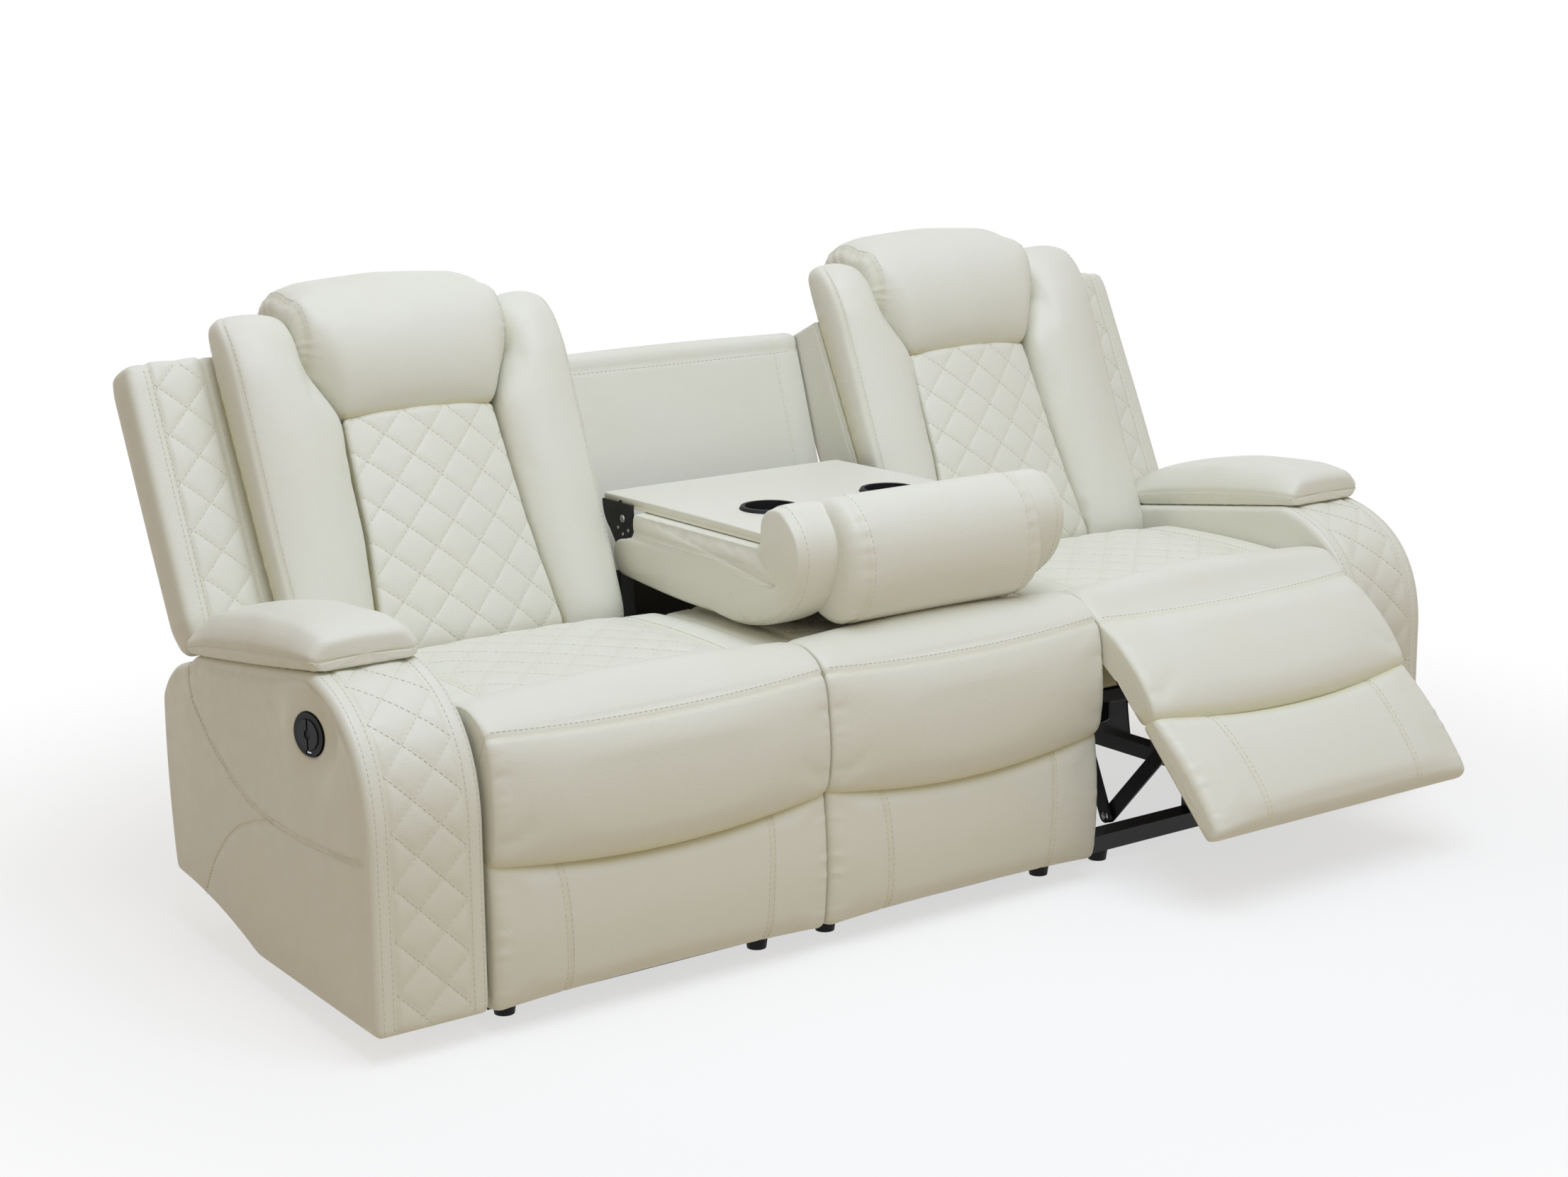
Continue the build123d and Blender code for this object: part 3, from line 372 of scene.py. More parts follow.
# Blows a closed pad up from inside with pressure; pinned rows stay, and no point moves more than the cap.
# The cloth is woven from every third row of the pad, and its swelling is spread back over all the rows.
def inflate(points, pinned, cap):
    n, m = points.shape[:2]
    rows = np.unique(np.append(np.arange(0, n, cushioning["stride"]), n - 1))
    columns = np.arange(0, m, cushioning["stride"])
    coarse = points[rows][:, columns]
    fixed = np.zeros(coarse.shape[:2], bool)
    for i, row in enumerate(rows):
        for shift in (-1, 0, 1):
            fixed[i] |= pinned[max(row - 1, 0):row + 2][:, (columns + shift) % m].any(0)
    mesh = meshFromGrid("inflating", coarse)
    body = newObject("inflating", mesh)
    held = body.vertex_groups.new(name="held")
    held.add([int(v) for v in np.flatnonzero(fixed.ravel())] + [fixed.size, fixed.size + 1], 1.0, "REPLACE")
    cloth = body.modifiers.new("cloth", "CLOTH")
    cloth.settings.quality = cushioning["quality"]
    cloth.settings.use_pressure = True
    cloth.settings.uniform_pressure_force = cushioning["pressure"]
    cloth.settings.effector_weights.gravity = 0
    cloth.settings.tension_stiffness = cushioning["tension"]
    cloth.settings.compression_stiffness = cushioning["compression"]
    cloth.settings.bending_stiffness = cushioning["bending"]
    cloth.settings.vertex_group_mass = "held"
    cloth.point_cache.frame_start, cloth.point_cache.frame_end = 1, cushioning["frames"]
    for number in range(1, cushioning["frames"] + 1):
        scene.frame_set(number)
    shown = body.evaluated_get(bpy.context.evaluated_depsgraph_get())
    co = np.empty(len(shown.data.vertices) * 3)
    shown.data.vertices.foreach_get("co", co)
    moved = co.reshape(-1, 3)[:fixed.size].reshape(coarse.shape) * 1000 - np.array([0.0, shiftY, 0.0])
    scene.frame_set(1)
    bpy.data.objects.remove(body)
    bpy.data.meshes.remove(mesh)
    step = moved - coarse
    step = step * np.minimum(1.0, cap / np.maximum(np.linalg.norm(step, axis=2, keepdims=True), 1e-9))
    step = between(rows, np.arange(n), np.concatenate([step, step[:, :1]], axis=1))
    step = between(np.append(columns, m), np.arange(m), np.moveaxis(step, 1, 0))
    return points + blur(blur(np.moveaxis(step, 0, 1), 1.2, 0, False), 1.2, 1, True)


def leatherPiece(name, points, paintedShade, body, replaces):
    mesh = meshFromGrid(name, points)
    # Each point keeps its amount of painted shade as an attribute that the leather material reads.
    tint = mesh.attributes.new("paintedShade", "FLOAT", "POINT")
    values = np.concatenate([np.clip(paintedShade, 0, 1).ravel(), [0.0, 0.0]])
    tint.data.foreach_set("value", values.astype(np.float32))
    mesh.materials.append(hide)
    piece = newObject(name, mesh)
    if body:
        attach(piece, body)
    if replaces:
        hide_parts(*replaces)
    return piece


def surfaceOf(piece):
    if piece.name not in surfaces:
        corners = [v.co for v in piece.data.vertices]
        surfaces[piece.name] = BVHTree.FromPolygons(corners, [p.vertices for p in piece.data.polygons])
    return surfaces[piece.name]


# Lays a seam on a piece: each point goes along the given way until it meets the surface.
def seamOn(piece, points, way, body, lift=0.5):
    tree = surfaceOf(piece)
    direction = Vector(way).normalized()
    runs = [[]]
    for p in toFrame(points):
        hit, normal, _, _ = tree.ray_cast(Vector(p) - direction * 0.12, direction, 0.26)
        if hit is None:
            runs.append([])
        else:
            runs[-1].append(tuple(hit + normal * lift / 1000))
    stitchRuns.setdefault(body, []).extend(r for r in runs if len(r) > 2)


# Lays a seam on a piece where it comes nearest to each point.
def seamNear(piece, points, body, lift=0.4):
    run = []
    for p in toFrame(points):
        hit, normal, _, _ = surfaceOf(piece).find_nearest(Vector(p))
        run.append(tuple(hit + normal * lift / 1000))
    stitchRuns.setdefault(body, []).append(run)


def seamRow(body, points):
    stitchRuns.setdefault(body, []).append(toFrame(points).tolist())


# A point for each row of a shape, at a column that may lie between two; some rows at both ends are left out.
def rowAt(shape, at, margin):
    j = np.arange(shape.shape[1])
    rows = range(margin, len(shape) - margin)
    return np.array([[np.interp(at[i], j, shape[i, :, k]) for k in range(3)] for i in rows])


def dense(points, step=6.0):
    points = np.asarray(points, float)
    length = np.concatenate([[0], np.cumsum(np.linalg.norm(np.diff(points, axis=0), axis=1))])
    at = np.linspace(0, length[-1], max(3, int(length[-1] / step) + 1))
    return np.stack([np.interp(at, length, points[:, k]) for k in range(points.shape[1])], axis=1)


# Straight quilting lines a + b or a - b = constant, as far as inside(a, b) holds.
def quiltLines(lowA, highA, lowB, highB, inside, step=4.0):
    pitch = sofa["quiltPitch"]
    runs = []
    for sign in (1, -1):
        low = lowA + min(sign * lowB, sign * highB)
        high = highA + max(sign * lowB, sign * highB)
        for k in range(math.ceil(low / pitch), math.floor(high / pitch) + 1):
            a = np.arange(lowA, highA + step, step / math.sqrt(2))
            b = sign * (k * pitch - a)
            runs.append([])
            for x, y, ok in zip(a, b, inside(a, b)):
                if ok:
                    runs[-1].append((x, y))
                elif runs[-1]:
                    runs.append([])
    return [np.array(r) for r in runs if len(r) > 3]


# Seats: a quilted cushion, a front roll that runs over the nose into the upper footrest pad, and a lower pad.
# Each swell is how far the stuffing may push the cover out.
seat = {"step": 4.0, "top": 454.0, "centreDip": 6.0, "quiltHalf": 215.0, "quiltRear": -44.0, "pillow": 1.6,
        "groove": 0.6, "cushionSwell": 6.0, "chaiseSwell": 9.0, "lowerSwell": 7.0}
# The roll bends between its start on the seat and its end on the footrest pad, both as Y and Z.
roll = {"startY": -440.0, "startZ": 468.0, "endY": -517.0, "endZ": 385.0, "swell": 9.0,
        "seamBow": 11.0, "creaseBow": 24.0, "stitchUp": 8.0}
chaiseStitches = []


def turnAbout(y, z, degrees, pivot=(sofa["hingeY"], sofa["hingeZ"])):
    angle = np.radians(degrees)
    dy, dz = y - pivot[0], z - pivot[1]
    c, s = np.cos(angle), np.sin(angle)
    return pivot[0] + dy * c + dz * s, pivot[1] - dy * s + dz * c


def swing(points, weight):
    return spots(points[..., 0], *turnAbout(points[..., 1], points[..., 2], weight * sofa["rightOpen"]))


def chaiseWeight(points):
    dy, dz = roll["endY"] - roll["startY"], roll["endZ"] - roll["startZ"]
    t = ((points[..., 1] - roll["startY"]) * dy + (points[..., 2] - roll["startZ"]) * dz) / (dy * dy + dz * dz)
    return smoothStep(0, 1, t)


def seatCushion(name, centre, half):
    top = seat["top"] - (seat["centreDip"] if name == "centre" else 0.0)
    quiltHalf, quiltRear = seat["quiltHalf"], seat["quiltRear"]
    outline = [
        (-447, 298, 0), (-449, 402, 0), (-432, 436, 4), (-376, top - 4, 5),
        (-62, top - 2, 6), (-39, 428, 2), (-34, 298, 0),
    ]
    local, _ = loftAcross(-half, half, outline, seat["step"], 9, 4, (22, 22), (0.4, 0.5), (None, 298))
    x, y, z = np.moveaxis(local, -1, 0)
    pinned = (z < 425) | (np.abs(np.abs(x) - quiltHalf) < 3)
    world = inflate(local + np.array([centre, 0, 0]), pinned, seat["cushionSwell"])
    onTop = smoothStep(420, 440, z)
    inside = smoothStep(0, 10, quiltHalf - np.abs(x)) * smoothStep(0, 10, quiltRear - y)
    inside = inside * smoothStep(0, 12, y + 392)
    height, line = quilting(x, y - quiltRear, seat["pillow"], seat["groove"], 3.0)
    border = ridge(np.abs(x) - quiltHalf, 5) * smoothStep(-392, -380, y) * onTop
    height = height * inside * onTop - 3 * border + 6 * arch(x, half) * onTop
    # Painted shade: a light tint along the quilting lines and the border groove on top, and a strong one down
    # the sides below the top.
    paintedShade = np.maximum(line * inside * 0.12, border * 0.2) * onTop
    paintedShade = np.maximum(paintedShade, 0.8 * smoothStep(440, 380, z))
    cushion = leatherPiece(name + "SeatCushion", raised(world, height), paintedShade, "base",
                           [name + "_seat_cushion"])
    down, above = (0, 0, -1), 470
    lines = quiltLines(-210, 210, -346, -2, lambda a, b: (np.abs(a) < 208) & (b < -4) & (b > -340))
    for r in lines:
        seamOn(cushion, spots(r[:, 0] + centre, r[:, 1] + quiltRear, above), down, "base", 0.0)
    for x in (centre - quiltHalf - 6, centre + quiltHalf + 6):
        seamOn(cushion, dense([(x, -384, above), (x, -50, above)]), down, "base")


def chaisePad(name, centre, half, restBody, opened, node):
    outline = [
        (-368, 440, 11), (-424, 470, 6), (-474, 461, 6), (-502, 437, 6), (-516, 388, roll["swell"]),
        (-513, 249, 3), (-473, 249, 0), (-473, 404, 0), (-430, 434, 0),
    ]
    step = seat["step"]
    local, corner = loftAcross(-half, half, outline, step, 14, 4, (22, 22), (0.8, 0.22), (-440, None))
    x, y, z = np.moveaxis(local, -1, 0)
    pinned = ((y > -478) & (z < 430)) | (np.abs(np.abs(x) - (half - 6)) < 4)
    world = inflate(local, pinned, seat["chaiseSwell"])
    front = smoothStep(-490, -505, y)
    bow = np.clip(1 - (x / half) ** 2, 0, 1)
    seamAt = corner[3] + roll["seamBow"] / step * bow
    away = (np.arange(local.shape[1])[None, :] - seamAt) * step
    height = grooveAt(away, 2.0, 3.6)
    height += puckers(z + y, half - np.abs(x) - 12, 0.7, 31, 9) * front
    height += 5 * arch(x, half) * np.maximum(smoothStep(432, 446, z), front)
    world = raised(world, height)
    world[..., 2] -= roll["creaseBow"] * bow * smoothStep(400, 262, z)
    # Painted shade: along the roll's seam groove, and along the bottom edge where the pad meets the lower pad.
    paintedShade = np.maximum(0.2 * ridge(away, 4), 0.3 * smoothStep(268, 256, z))
    seam = rowAt(world, seamAt[:, 0] - roll["stitchUp"] / step, 8)
    seamWeight = chaiseWeight(seam)
    seam = seam + np.array([0.0, -0.35, 0.35])
    if opened:
        world, seam = swing(world, chaiseWeight(world)), swing(seam, seamWeight)
    offset = np.array([centre, 0, 0])
    moving = restBody != "base"
    chaise = leatherPiece(name + "ChaisePad", world + offset, paintedShade, None if moving else "base", [node])
    if not moving:
        seamRow("base", seam + offset)
        return
    start = tuple(toFrame([centre, roll["startY"], roll["startZ"]]))
    end = tuple(toFrame([centre, *turnAbout(roll["endY"], roll["endZ"], opened)]))
    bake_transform(chaise)
    chaiseStitches.append((name, restBody, start, end, toFrame(seam + offset).tolist()))


# The two upright seams of a lower pad bow slightly outwards at their tops.
def lowerSeamX(z, half, side):
    return side * (half * 0.6 + 10 * ((z - 40) / 212) ** 2)


def lowerPad(name, centre, half, restBody, opened, nodes):
    outline = [(-471, 259, 0), (-504, 259, 10), (-506, 42, 5), (-471, 39, 0)]
    local, _ = loftAcross(-half, half, outline, seat["step"], 6, 4, (18, 18), (0.9, 0.25), (-471, None))
    x, y, z = np.moveaxis(local, -1, 0)
    pinned = (y > -478) | (np.abs(np.abs(x) - (half - 8)) < 4)
    world = inflate(local, pinned, seat["lowerSwell"])
    front = smoothStep(-484, -500, y)
    height = puckers(z, half - np.abs(x) - 12, 0.9, 29, 8) * smoothStep(-476, -490, y)
    # Painted shade: along the two upright seams, and along the top edge under the upper pad.
    paintedShade = np.zeros_like(height)
    seamZ = np.arange(52, 236, 6.0)
    lines = []
    for side in (-1, 1):
        away = x - lowerSeamX(z, half, side)
        height += grooveAt(away, 1.6, 4.0) * front
        paintedShade += 0.2 * ridge(away, 4) * front
        lines += [spots(lowerSeamX(seamZ, half, side) + off, -515, seamZ) for off in (-5, 5)]
    world = raised(world, height)
    world[..., 2] -= roll["creaseBow"] * np.clip(1 - (x / half) ** 2, 0, 1) * smoothStep(120, 250, z)
    paintedShade = np.maximum(paintedShade, 0.35 * smoothStep(242, 252, z))
    if opened:
        world, lines = swing(world, 1.0), [swing(line, 1.0) for line in lines]
    offset = np.array([centre, 0, 0])
    lower = leatherPiece(name + "LowerPad", world + offset, paintedShade, restBody, nodes)
    way = (0.0, math.cos(math.radians(opened)), -math.sin(math.radians(opened)))
    for line in lines:
        seamOn(lower, line + offset, way, restBody)


seats = [(name, sign * (sofa["seatX"] - 2), sofa["seatHalf"] + 2, name + "_footrest",
          name + "_footrest_upper_pad", [name + "_footrest_lower_pad"]) for name, sign in sides]
seats.append(("centre", 0.0, sofa["centreHalf"] + 5, "base", "centre_front_panels", []))
for name, centre, half, restBody, upperNode, lowerNodes in seats:
    opened = sofa["rightOpen"] if name == "right" else 0.0
    seatCushion(name, centre, half)
    chaisePad(name, centre, half, restBody, opened, upperNode)
    lowerPad(name, centre, half, restBody, opened, lowerNodes)
print("seats ready")

# Backs of the end seats, drawn upright: across from the seat's middle, depth, height above the seat.
back = {"step": 4.5, "panelStep": 3.2, "pillow": 2.0, "groove": 0.7, "headHalf": 188.0, "crest": 634.0,
        "seamIn": 9.0, "outerReach": 311.0, "innerReach": 286.0, "headSeam": 8.0, "quiltFoot": 196.0,
        "bolsterSwell": 7.0, "headSwell": 10.0, "frameFoot": -61.0}
wing = {"quiltX": 893.0, "quiltFoot": 100.0, "pillow": 1.8, "groove": 0.7, "stitchX": (882, 891, 976, 985)}
leanCos, leanSin = math.cos(math.radians(sofa["lean"])), math.sin(math.radians(sofa["lean"]))
backWay = np.array([0.0, leanCos, -leanSin])


# Leans a form of the right back into its place, or mirrors it to the left.
def leaned(local, sign):
    x, d, h = np.moveaxis(local, -1, 0)
    y, z = d * leanCos + h * leanSin, sofa["seatTop"] - d * leanSin + h * leanCos
    return flipped(spots(x + sofa["seatX"], y, z), sign)


def bolsterForm(reach):
    def section(inner, drawn, front):
        side = reach - drawn
        return [(inner, 64, 0), (inner, front + 10, 17), (side, front + 6, 3), (side, 64, 0)]

    keys = [
        (-35, section(164, 14, 30)), (12, section(164, 8, 8)), (192, section(145, 2, 1)),
        (384, section(141, 0, -11)), (468, section(184, 0, -14)), (524, section(187, 1, -6)),
        (556, section(191, 4, 10)), (577, section(199, 10, 28)),
    ]
    local, corner = loft(keys, back["step"], 11, 14, (20, 26), (0.8, 0.9), (None, 64))
    x, d, h = np.moveaxis(local, -1, 0)
    j = np.arange(local.shape[1])
    face = slice(corner[1], corner[2] + 1)
    seamAt = np.array([np.interp(row.max() - back["seamIn"], row[face], j[face]) for row in x])
    off = j[None, :] - seamAt[:, None]
    away = off * back["step"]
    height = grooveAt(away, 1.6, 4.0) + puckers(h, (d - 50) * 0.8, 0.8, 34, 10) * smoothStep(0, 8, 62 - d)
    shape = raised(inflate(local, (d > 56) | (np.abs(off) < 1), back["bolsterSwell"]), height)
    # Painted shade: along the seam, and on the side toward the bolster's back, below the headrest.
    paintedShade = np.maximum(0.12 * ridge(away, 4), 0.45 * smoothStep(16, 54, d) * smoothStep(500, 450, h))
    return shape, paintedShade, rowAt(shape, seamAt - 1.2, 10) + np.array([0.0, -0.5, 0.0])


def headrestForm():
    half, crest = back["headHalf"], back["crest"]

    def outline(foot, inset):
        front = -34 + inset
        rear = 172 - inset * 0.5
        return [
            (64, foot, 0), (front + 46, foot - 2, 12), (front, (foot + crest) / 2 - 10, 14),
            (front + 44, crest - 36 - inset * 0.6, 13), (112, crest - inset * 0.8, 12),
            (rear, crest - 66 - inset * 0.4, 6), (rear - 6, 478, 0), (64, 478, 0),
        ]

    ends = [(half, 462, 26), (half - 20, 448, 11), (half - 52, 387, 2)]
    keys = [(-x, outline(foot, inset)) for x, foot, inset in ends] + [(0, outline(387, -4))]
    keys += [(x, outline(foot, inset)) for x, foot, inset in reversed(ends)]
    local = loft(keys, back["step"], 11, 6, (17, 17), (0.9, 0.9), (None, None), 8)[0][..., [2, 0, 1]]
    x, d, h = np.moveaxis(local, -1, 0)
    seamX = half - back["headSeam"]
    away = np.abs(x) - seamX
    pinned = (d > 160) | (np.abs(away) < 3) | ((h < 470) & (d > 58))
    onFront = smoothStep(160, 130, d)
    height = grooveAt(away, 2.2, 4.0) * onFront
    height += puckers(np.arctan2(h - 520, d - 60) * 120, away, 1.2, 30, 12) * onFront
    height += 4 * arch(x, seamX) * onFront
    # Painted shade: along the side seams, and under the lower lip of the headrest.
    paintedShade = np.maximum(0.15 * ridge(away, 4) * onFront, 0.5 * smoothStep(398, 386, h))
    return raised(inflate(local, pinned, back["headSwell"]), height), paintedShade


def panelHalf(h):
    return np.interp(h, [-35, 13, 192, 280, 378], [161, 161, 141, 137, 134])


def panelForm():
    def section(half, front):
        return [(-half, 64, 0), (-half, front + 5, 10), (half, front + 5, 0), (half, 64, 0)]

    keys = [(-35, section(161, 32)), (14, section(161, 15)), (192, section(141, 12)), (384, section(134, 15))]
    local, _ = loft(keys, back["panelStep"], 5, 8, (8, 8), (0.6, 0.6), (None, 64))
    x, d, h = np.moveaxis(local, -1, 0)
    front = smoothStep(30, 22, d)
    inside = smoothStep(-4, 6, panelHalf(h) - np.abs(x)) * smoothStep(388, 380, h) * front
    height, line = quilting(x, h - back["quiltFoot"], back["pillow"], back["groove"], 2.6)
    # Painted shade: along the quilting lines, down the sides that turn back, and faintly at the foot of the
    # face.
    paintedShade = np.maximum(line * 0.12 * inside, 0.8 * smoothStep(18, 44, d))
    paintedShade = np.maximum(paintedShade, 0.2 * smoothStep(40, -30, h) * front)
    return raised(local, height * inside + 8 * arch(x, 150) * front), paintedShade


def wingForm():
    def section(inset):
        side = 1012 - inset
        return [(846, 80 + inset * 0.4, 7), (side, 82 + inset, 5), (side, 156 - inset * 0.5, 0), (846, 156, 0)]

    keys = [(74, section(10)), (114, section(1)), (272, section(0)), (500, section(0)), (528, section(4))]
    local, _ = loft(keys, back["panelStep"], 7, 8, (16, 12), (0.8, 0.8), (846, 156))
    x, d, h = np.moveaxis(local, -1, 0)
    front = smoothStep(112, 98, d)
    inside = smoothStep(0, 6, x - 891) * smoothStep(0, 6, 976 - x) * front
    height, line = quilting(x - wing["quiltX"], h - wing["quiltFoot"], wing["pillow"], wing["groove"], 2.6)
    border = (ridge(x - 888, 4) + ridge(x - 979, 4)) * front
    shape = raised(local, height * inside - 2 * border) - np.array([sofa["seatX"], 0, 0])
    # Painted shade along the quilting lines and the border grooves.
    return shape, np.maximum(line * 0.12 * inside, border * 0.12)


def coverForm():
    outline = [(67, -62, 0), (67, 481, 0), (164, 482, 4), (165, -22, 2), (133, -63, 0)]
    local, _ = loftAcross(-287, 292, outline, 6.0, 6, 4, (9, 9), (0.8, 0.8), (None, None))
    x, d, h = np.moveaxis(local, -1, 0)
    rear = smoothStep(150, 160, d)
    height = 5 * arch(x, 290) * np.sin(np.clip((h + 60) / 540, 0, 1) * math.pi) * rear
    seams = grooveAt(h - 330, 1.5, 4) * rear
    seams = seams + (grooveAt(x - 190, 1.5, 4) + grooveAt(x + 190, 1.5, 4)) * rear * (h < 330)
    # Painted shade in the seam grooves.
    return raised(local, height + seams), np.clip(-seams * 0.12, 0, 1)


outerBolster, innerBolster = bolsterForm(back["outerReach"]), bolsterForm(back["innerReach"])
headrest, panel, wingShape, cover = headrestForm(), panelForm(), wingForm(), coverForm()
coverSeams = ([(-280, 170, 335), (284, 170, 335)], [(-195, 170, -20), (-195, 170, 325)],
              [(195, 170, -20), (195, 170, 325)])
for sideName, sign in sides:
    body = sideName + "_back"
    for label, form, flip in (("OuterBolster", outerBolster, 1), ("InnerBolster", innerBolster, -1)):
        leatherPiece(sideName + label, leaned(flipped(form[0], flip), sign), form[1], body,
                     [sideName + "_back_bolsters"])
        seamRow(body, leaned(flipped(form[2], flip), sign))
    foot = back["quiltFoot"]
    piece = leatherPiece(sideName + "BackPanel", leaned(panel[0], sign), panel[1], body,
                         [sideName + "_back_panel"])
    lines = quiltLines(-156, 156, -226, 182, lambda a, b: (
        (np.abs(a) < panelHalf(b + foot) - 1) & (b + foot < 384) & (b + foot > -26)))
    for r in lines:
        seamOn(piece, leaned(spots(r[:, 0], 10, r[:, 1] + foot), sign), backWay, body)
    piece = leatherPiece(sideName + "Headrest", leaned(headrest[0], sign), headrest[1], body,
                         [sideName + "_headrest"])
    arc = np.radians(np.arange(-75, 75, 4))
    for flip in (-1, 1):
        x = flip * (back["headHalf"] - back["headSeam"] - 7)
        seamOn(piece, leaned(spots(x, 40 - 90 * np.cos(arc), 530 + 120 * np.sin(arc)), sign), backWay, body)
    piece = leatherPiece(sideName + "Wing", leaned(wingShape[0], sign), wingShape[1], body,
                         [sideName + "_wing"])
    lines = quiltLines(0, 82, -20, 430, lambda a, b: (a > 0) & (a < 81) & (b > -12) & (b < 418))
    runs = [spots(r[:, 0] + wing["quiltX"] - sofa["seatX"], 82, r[:, 1] + wing["quiltFoot"]) for r in lines]
    runs += [dense([(x - sofa["seatX"], 82, 88), (x - sofa["seatX"], 82, 512)]) for x in wing["stitchX"]]
    for run in runs:
        seamOn(piece, leaned(run, sign), backWay, body)
    piece = leatherPiece(sideName + "BackCover", leaned(cover[0], sign), cover[1], body, [])
    for points in coverSeams:
        seamOn(piece, leaned(dense(points), sign), -backWay, body)
print("backs ready")

# Arms: a padded body with a quilted strip up its front and a dished outer side round the control.
arm = {"step": 6.0, "stripIn": 30.0, "stripOut": 33.0, "stripPast": 20, "pillow": 2.2, "groove": 1.0,
       "edge": 12.0, "control": (1040.013, -330.0, 437.0), "socket": 33.0, "dish": 11.0,
       "dishAt": (-372.0, 462.0), "faceSlope": 0.2126, "faceNormal": (0.978148, -0.207912, 0.0)}
# Two seams across the outer side, as Y and Z, with the offsets of their stitches.
armSeams = (
    ([(106, 452), (101, 425), (83, 395), (25, 348), (-58, 306), (-120, 286), (-184, 277), (-300, 276),
      (-420, 284), (-484, 290)], (-4.0, 4.0)),
    ([(91, 84), (66, 118), (36, 153), (-20, 205), (-70, 236), (-123, 256), (-160, 267), (-195, 274)], (4.0,)),
)
armWidth = sofa["armOuter"] - sofa["armInner"]


def armLine():
    outline = [
        (-505, 41, 0), (-505, 326, 51), (-335, 525, 0), (73, 466.9, 3), (105, 448.7, 16.3),
        (221.4, 379, 8), (205.4, 97, -10), (-100, 43, 0),
    ]
    counts = [max(3, int(round(edge / arm["step"]))) for edge in edgeLengths(outline)]
    line = blur(sampleOutline(outline, counts), 7 / arm["step"], 0, True)
    return line, np.concatenate([[0], np.cumsum(counts)])


def armSide(y, share=1.0):
    return -sofa["armTaper"] * share * (y - sofa["armFront"]) / (sofa["armRear"] - sofa["armFront"])


def insetLine(line, inset):
    low, high = line.min(0), line.max(0)
    middle = (low + high) / 2
    return middle + (line - middle) * (1 - 2 * inset / (high - low))


# Rows from the middle of the inner side, over the edge, and down to the floor of the control's socket.
def armGrid():
    line, corner = armLine()
    edge = arm["edge"]
    bend = np.linspace(0, math.pi / 2, 7)[1:]
    level = np.arange(edge + 4, armWidth - edge - 2, 4.0)
    across = np.concatenate([edge * (1 - np.sin(bend[::-1])), level, armWidth - edge * (1 - np.sin(bend))])
    inset = np.concatenate([edge * (1 - np.cos(bend[::-1])), level * 0, edge * (1 - np.cos(bend))])
    rows = []
    for a, i in zip(across, inset):
        y, z = insetLine(line, i).T
        rows.append(spots(sofa["armInner"] + a + armSide(y, a / armWidth), y, z))
    first, last = rows[0], rows[-1]
    middle = first.mean(0)
    inner = [middle + (first - middle) * share for share in (0.15, 0.4, 0.65, 0.85, 0.96)]
    centre = np.array(arm["control"])
    spread = last[:, 1:] - centre[1:]
    spread = spread / np.linalg.norm(spread, axis=1, keepdims=True)
    ring = centre[1:] + spread * arm["socket"]

    def facePlane(y):
        return centre[0] + arm["faceSlope"] * (y - centre[1])

    outer = []
    for f in np.linspace(0, 1, 64)[1:]:
        y, z = (last[:, 1:] * (1 - f) + ring * f).T
        x = sofa["armOuter"] + armSide(y) + 5.0 * smoothStep(0, 0.25, f)
        x = x - arm["dish"] * ridge(y - arm["dishAt"][0], 52) * ridge(z - arm["dishAt"][1], 58)
        near = ridge(np.hypot(y - centre[1], z - centre[2]) - arm["socket"], 34)
        outer.append(spots(x * (1 - near) + facePlane(y) * near, y, z))
    for deep, radius in ((2.0, 32.4), (8.0, 32.2), (17.0, 32.2), (17.4, 20.0), (17.4, 8.0)):
        y, z = (centre[1:] + spread * radius).T
        outer.append(spots(facePlane(y), y, z) - np.array(arm["faceNormal"]) * deep)
    kinds = np.repeat([0, 1, 2], [len(inner), len(rows), len(outer)])
    reach = np.concatenate([[0] * len(inner), across, [armWidth] * len(outer)])
    return np.array(inner + rows + outer), kinds, reach, corner


armRaw, armKinds, armAcross, armCorner = armGrid()
edgeRows = np.flatnonzero(armKinds == 1)
stripLow, stripHigh = arm["stripIn"], armWidth - arm["stripOut"]
stripEnd = armCorner[2] + arm["stripPast"]
middleRow = armRaw[edgeRows[20]]
armRun = np.concatenate([[0], np.cumsum(np.linalg.norm(np.diff(middleRow[:, 1:], axis=0), axis=1))])


def armForm():
    strip = (armKinds == 1)[:, None] & (np.arange(armRaw.shape[1]) < stripEnd + 2)[None, :]
    x, s = np.meshgrid(armAcross, armRun, indexing="ij")
    fade = smoothStep(0, 6, x - stripLow) * smoothStep(0, 6, stripHigh - x) * smoothStep(4, 12, s)
    fade = fade * smoothStep(armRun[stripEnd + 1], armRun[stripEnd - 4], s) * strip
    height, line = quilting(x - stripLow, s - 20, arm["pillow"], arm["groove"], 2.8)
    # Painted shade along the strip's quilting lines and borders, and along the seams of the outer side.
    height, paintedShade = height * fade, line * 0.12 * fade
    for at in (stripLow, stripHigh):
        border = ridge(x - at, 3.5) * strip
        height = height - 1.8 * border
        paintedShade = np.maximum(paintedShade, 0.12 * border)
    for curve, _ in armSeams:
        points = dense(curve, 8.0)
        close = np.min(np.hypot(armRaw[..., 1:2] - points[:, 0], armRaw[..., 2:3] - points[:, 1]), axis=2)
        groove = ridge(close, 5.0) * (armKinds == 2)[:, None]
        height = height - 1.6 * groove
        paintedShade = np.maximum(paintedShade, 0.15 * groove)
    return raised(armRaw, height), paintedShade


armShape, armPaintedShade = armForm()
stitchShape = (armShape + outward(armRaw) * 0.4)[edgeRows]


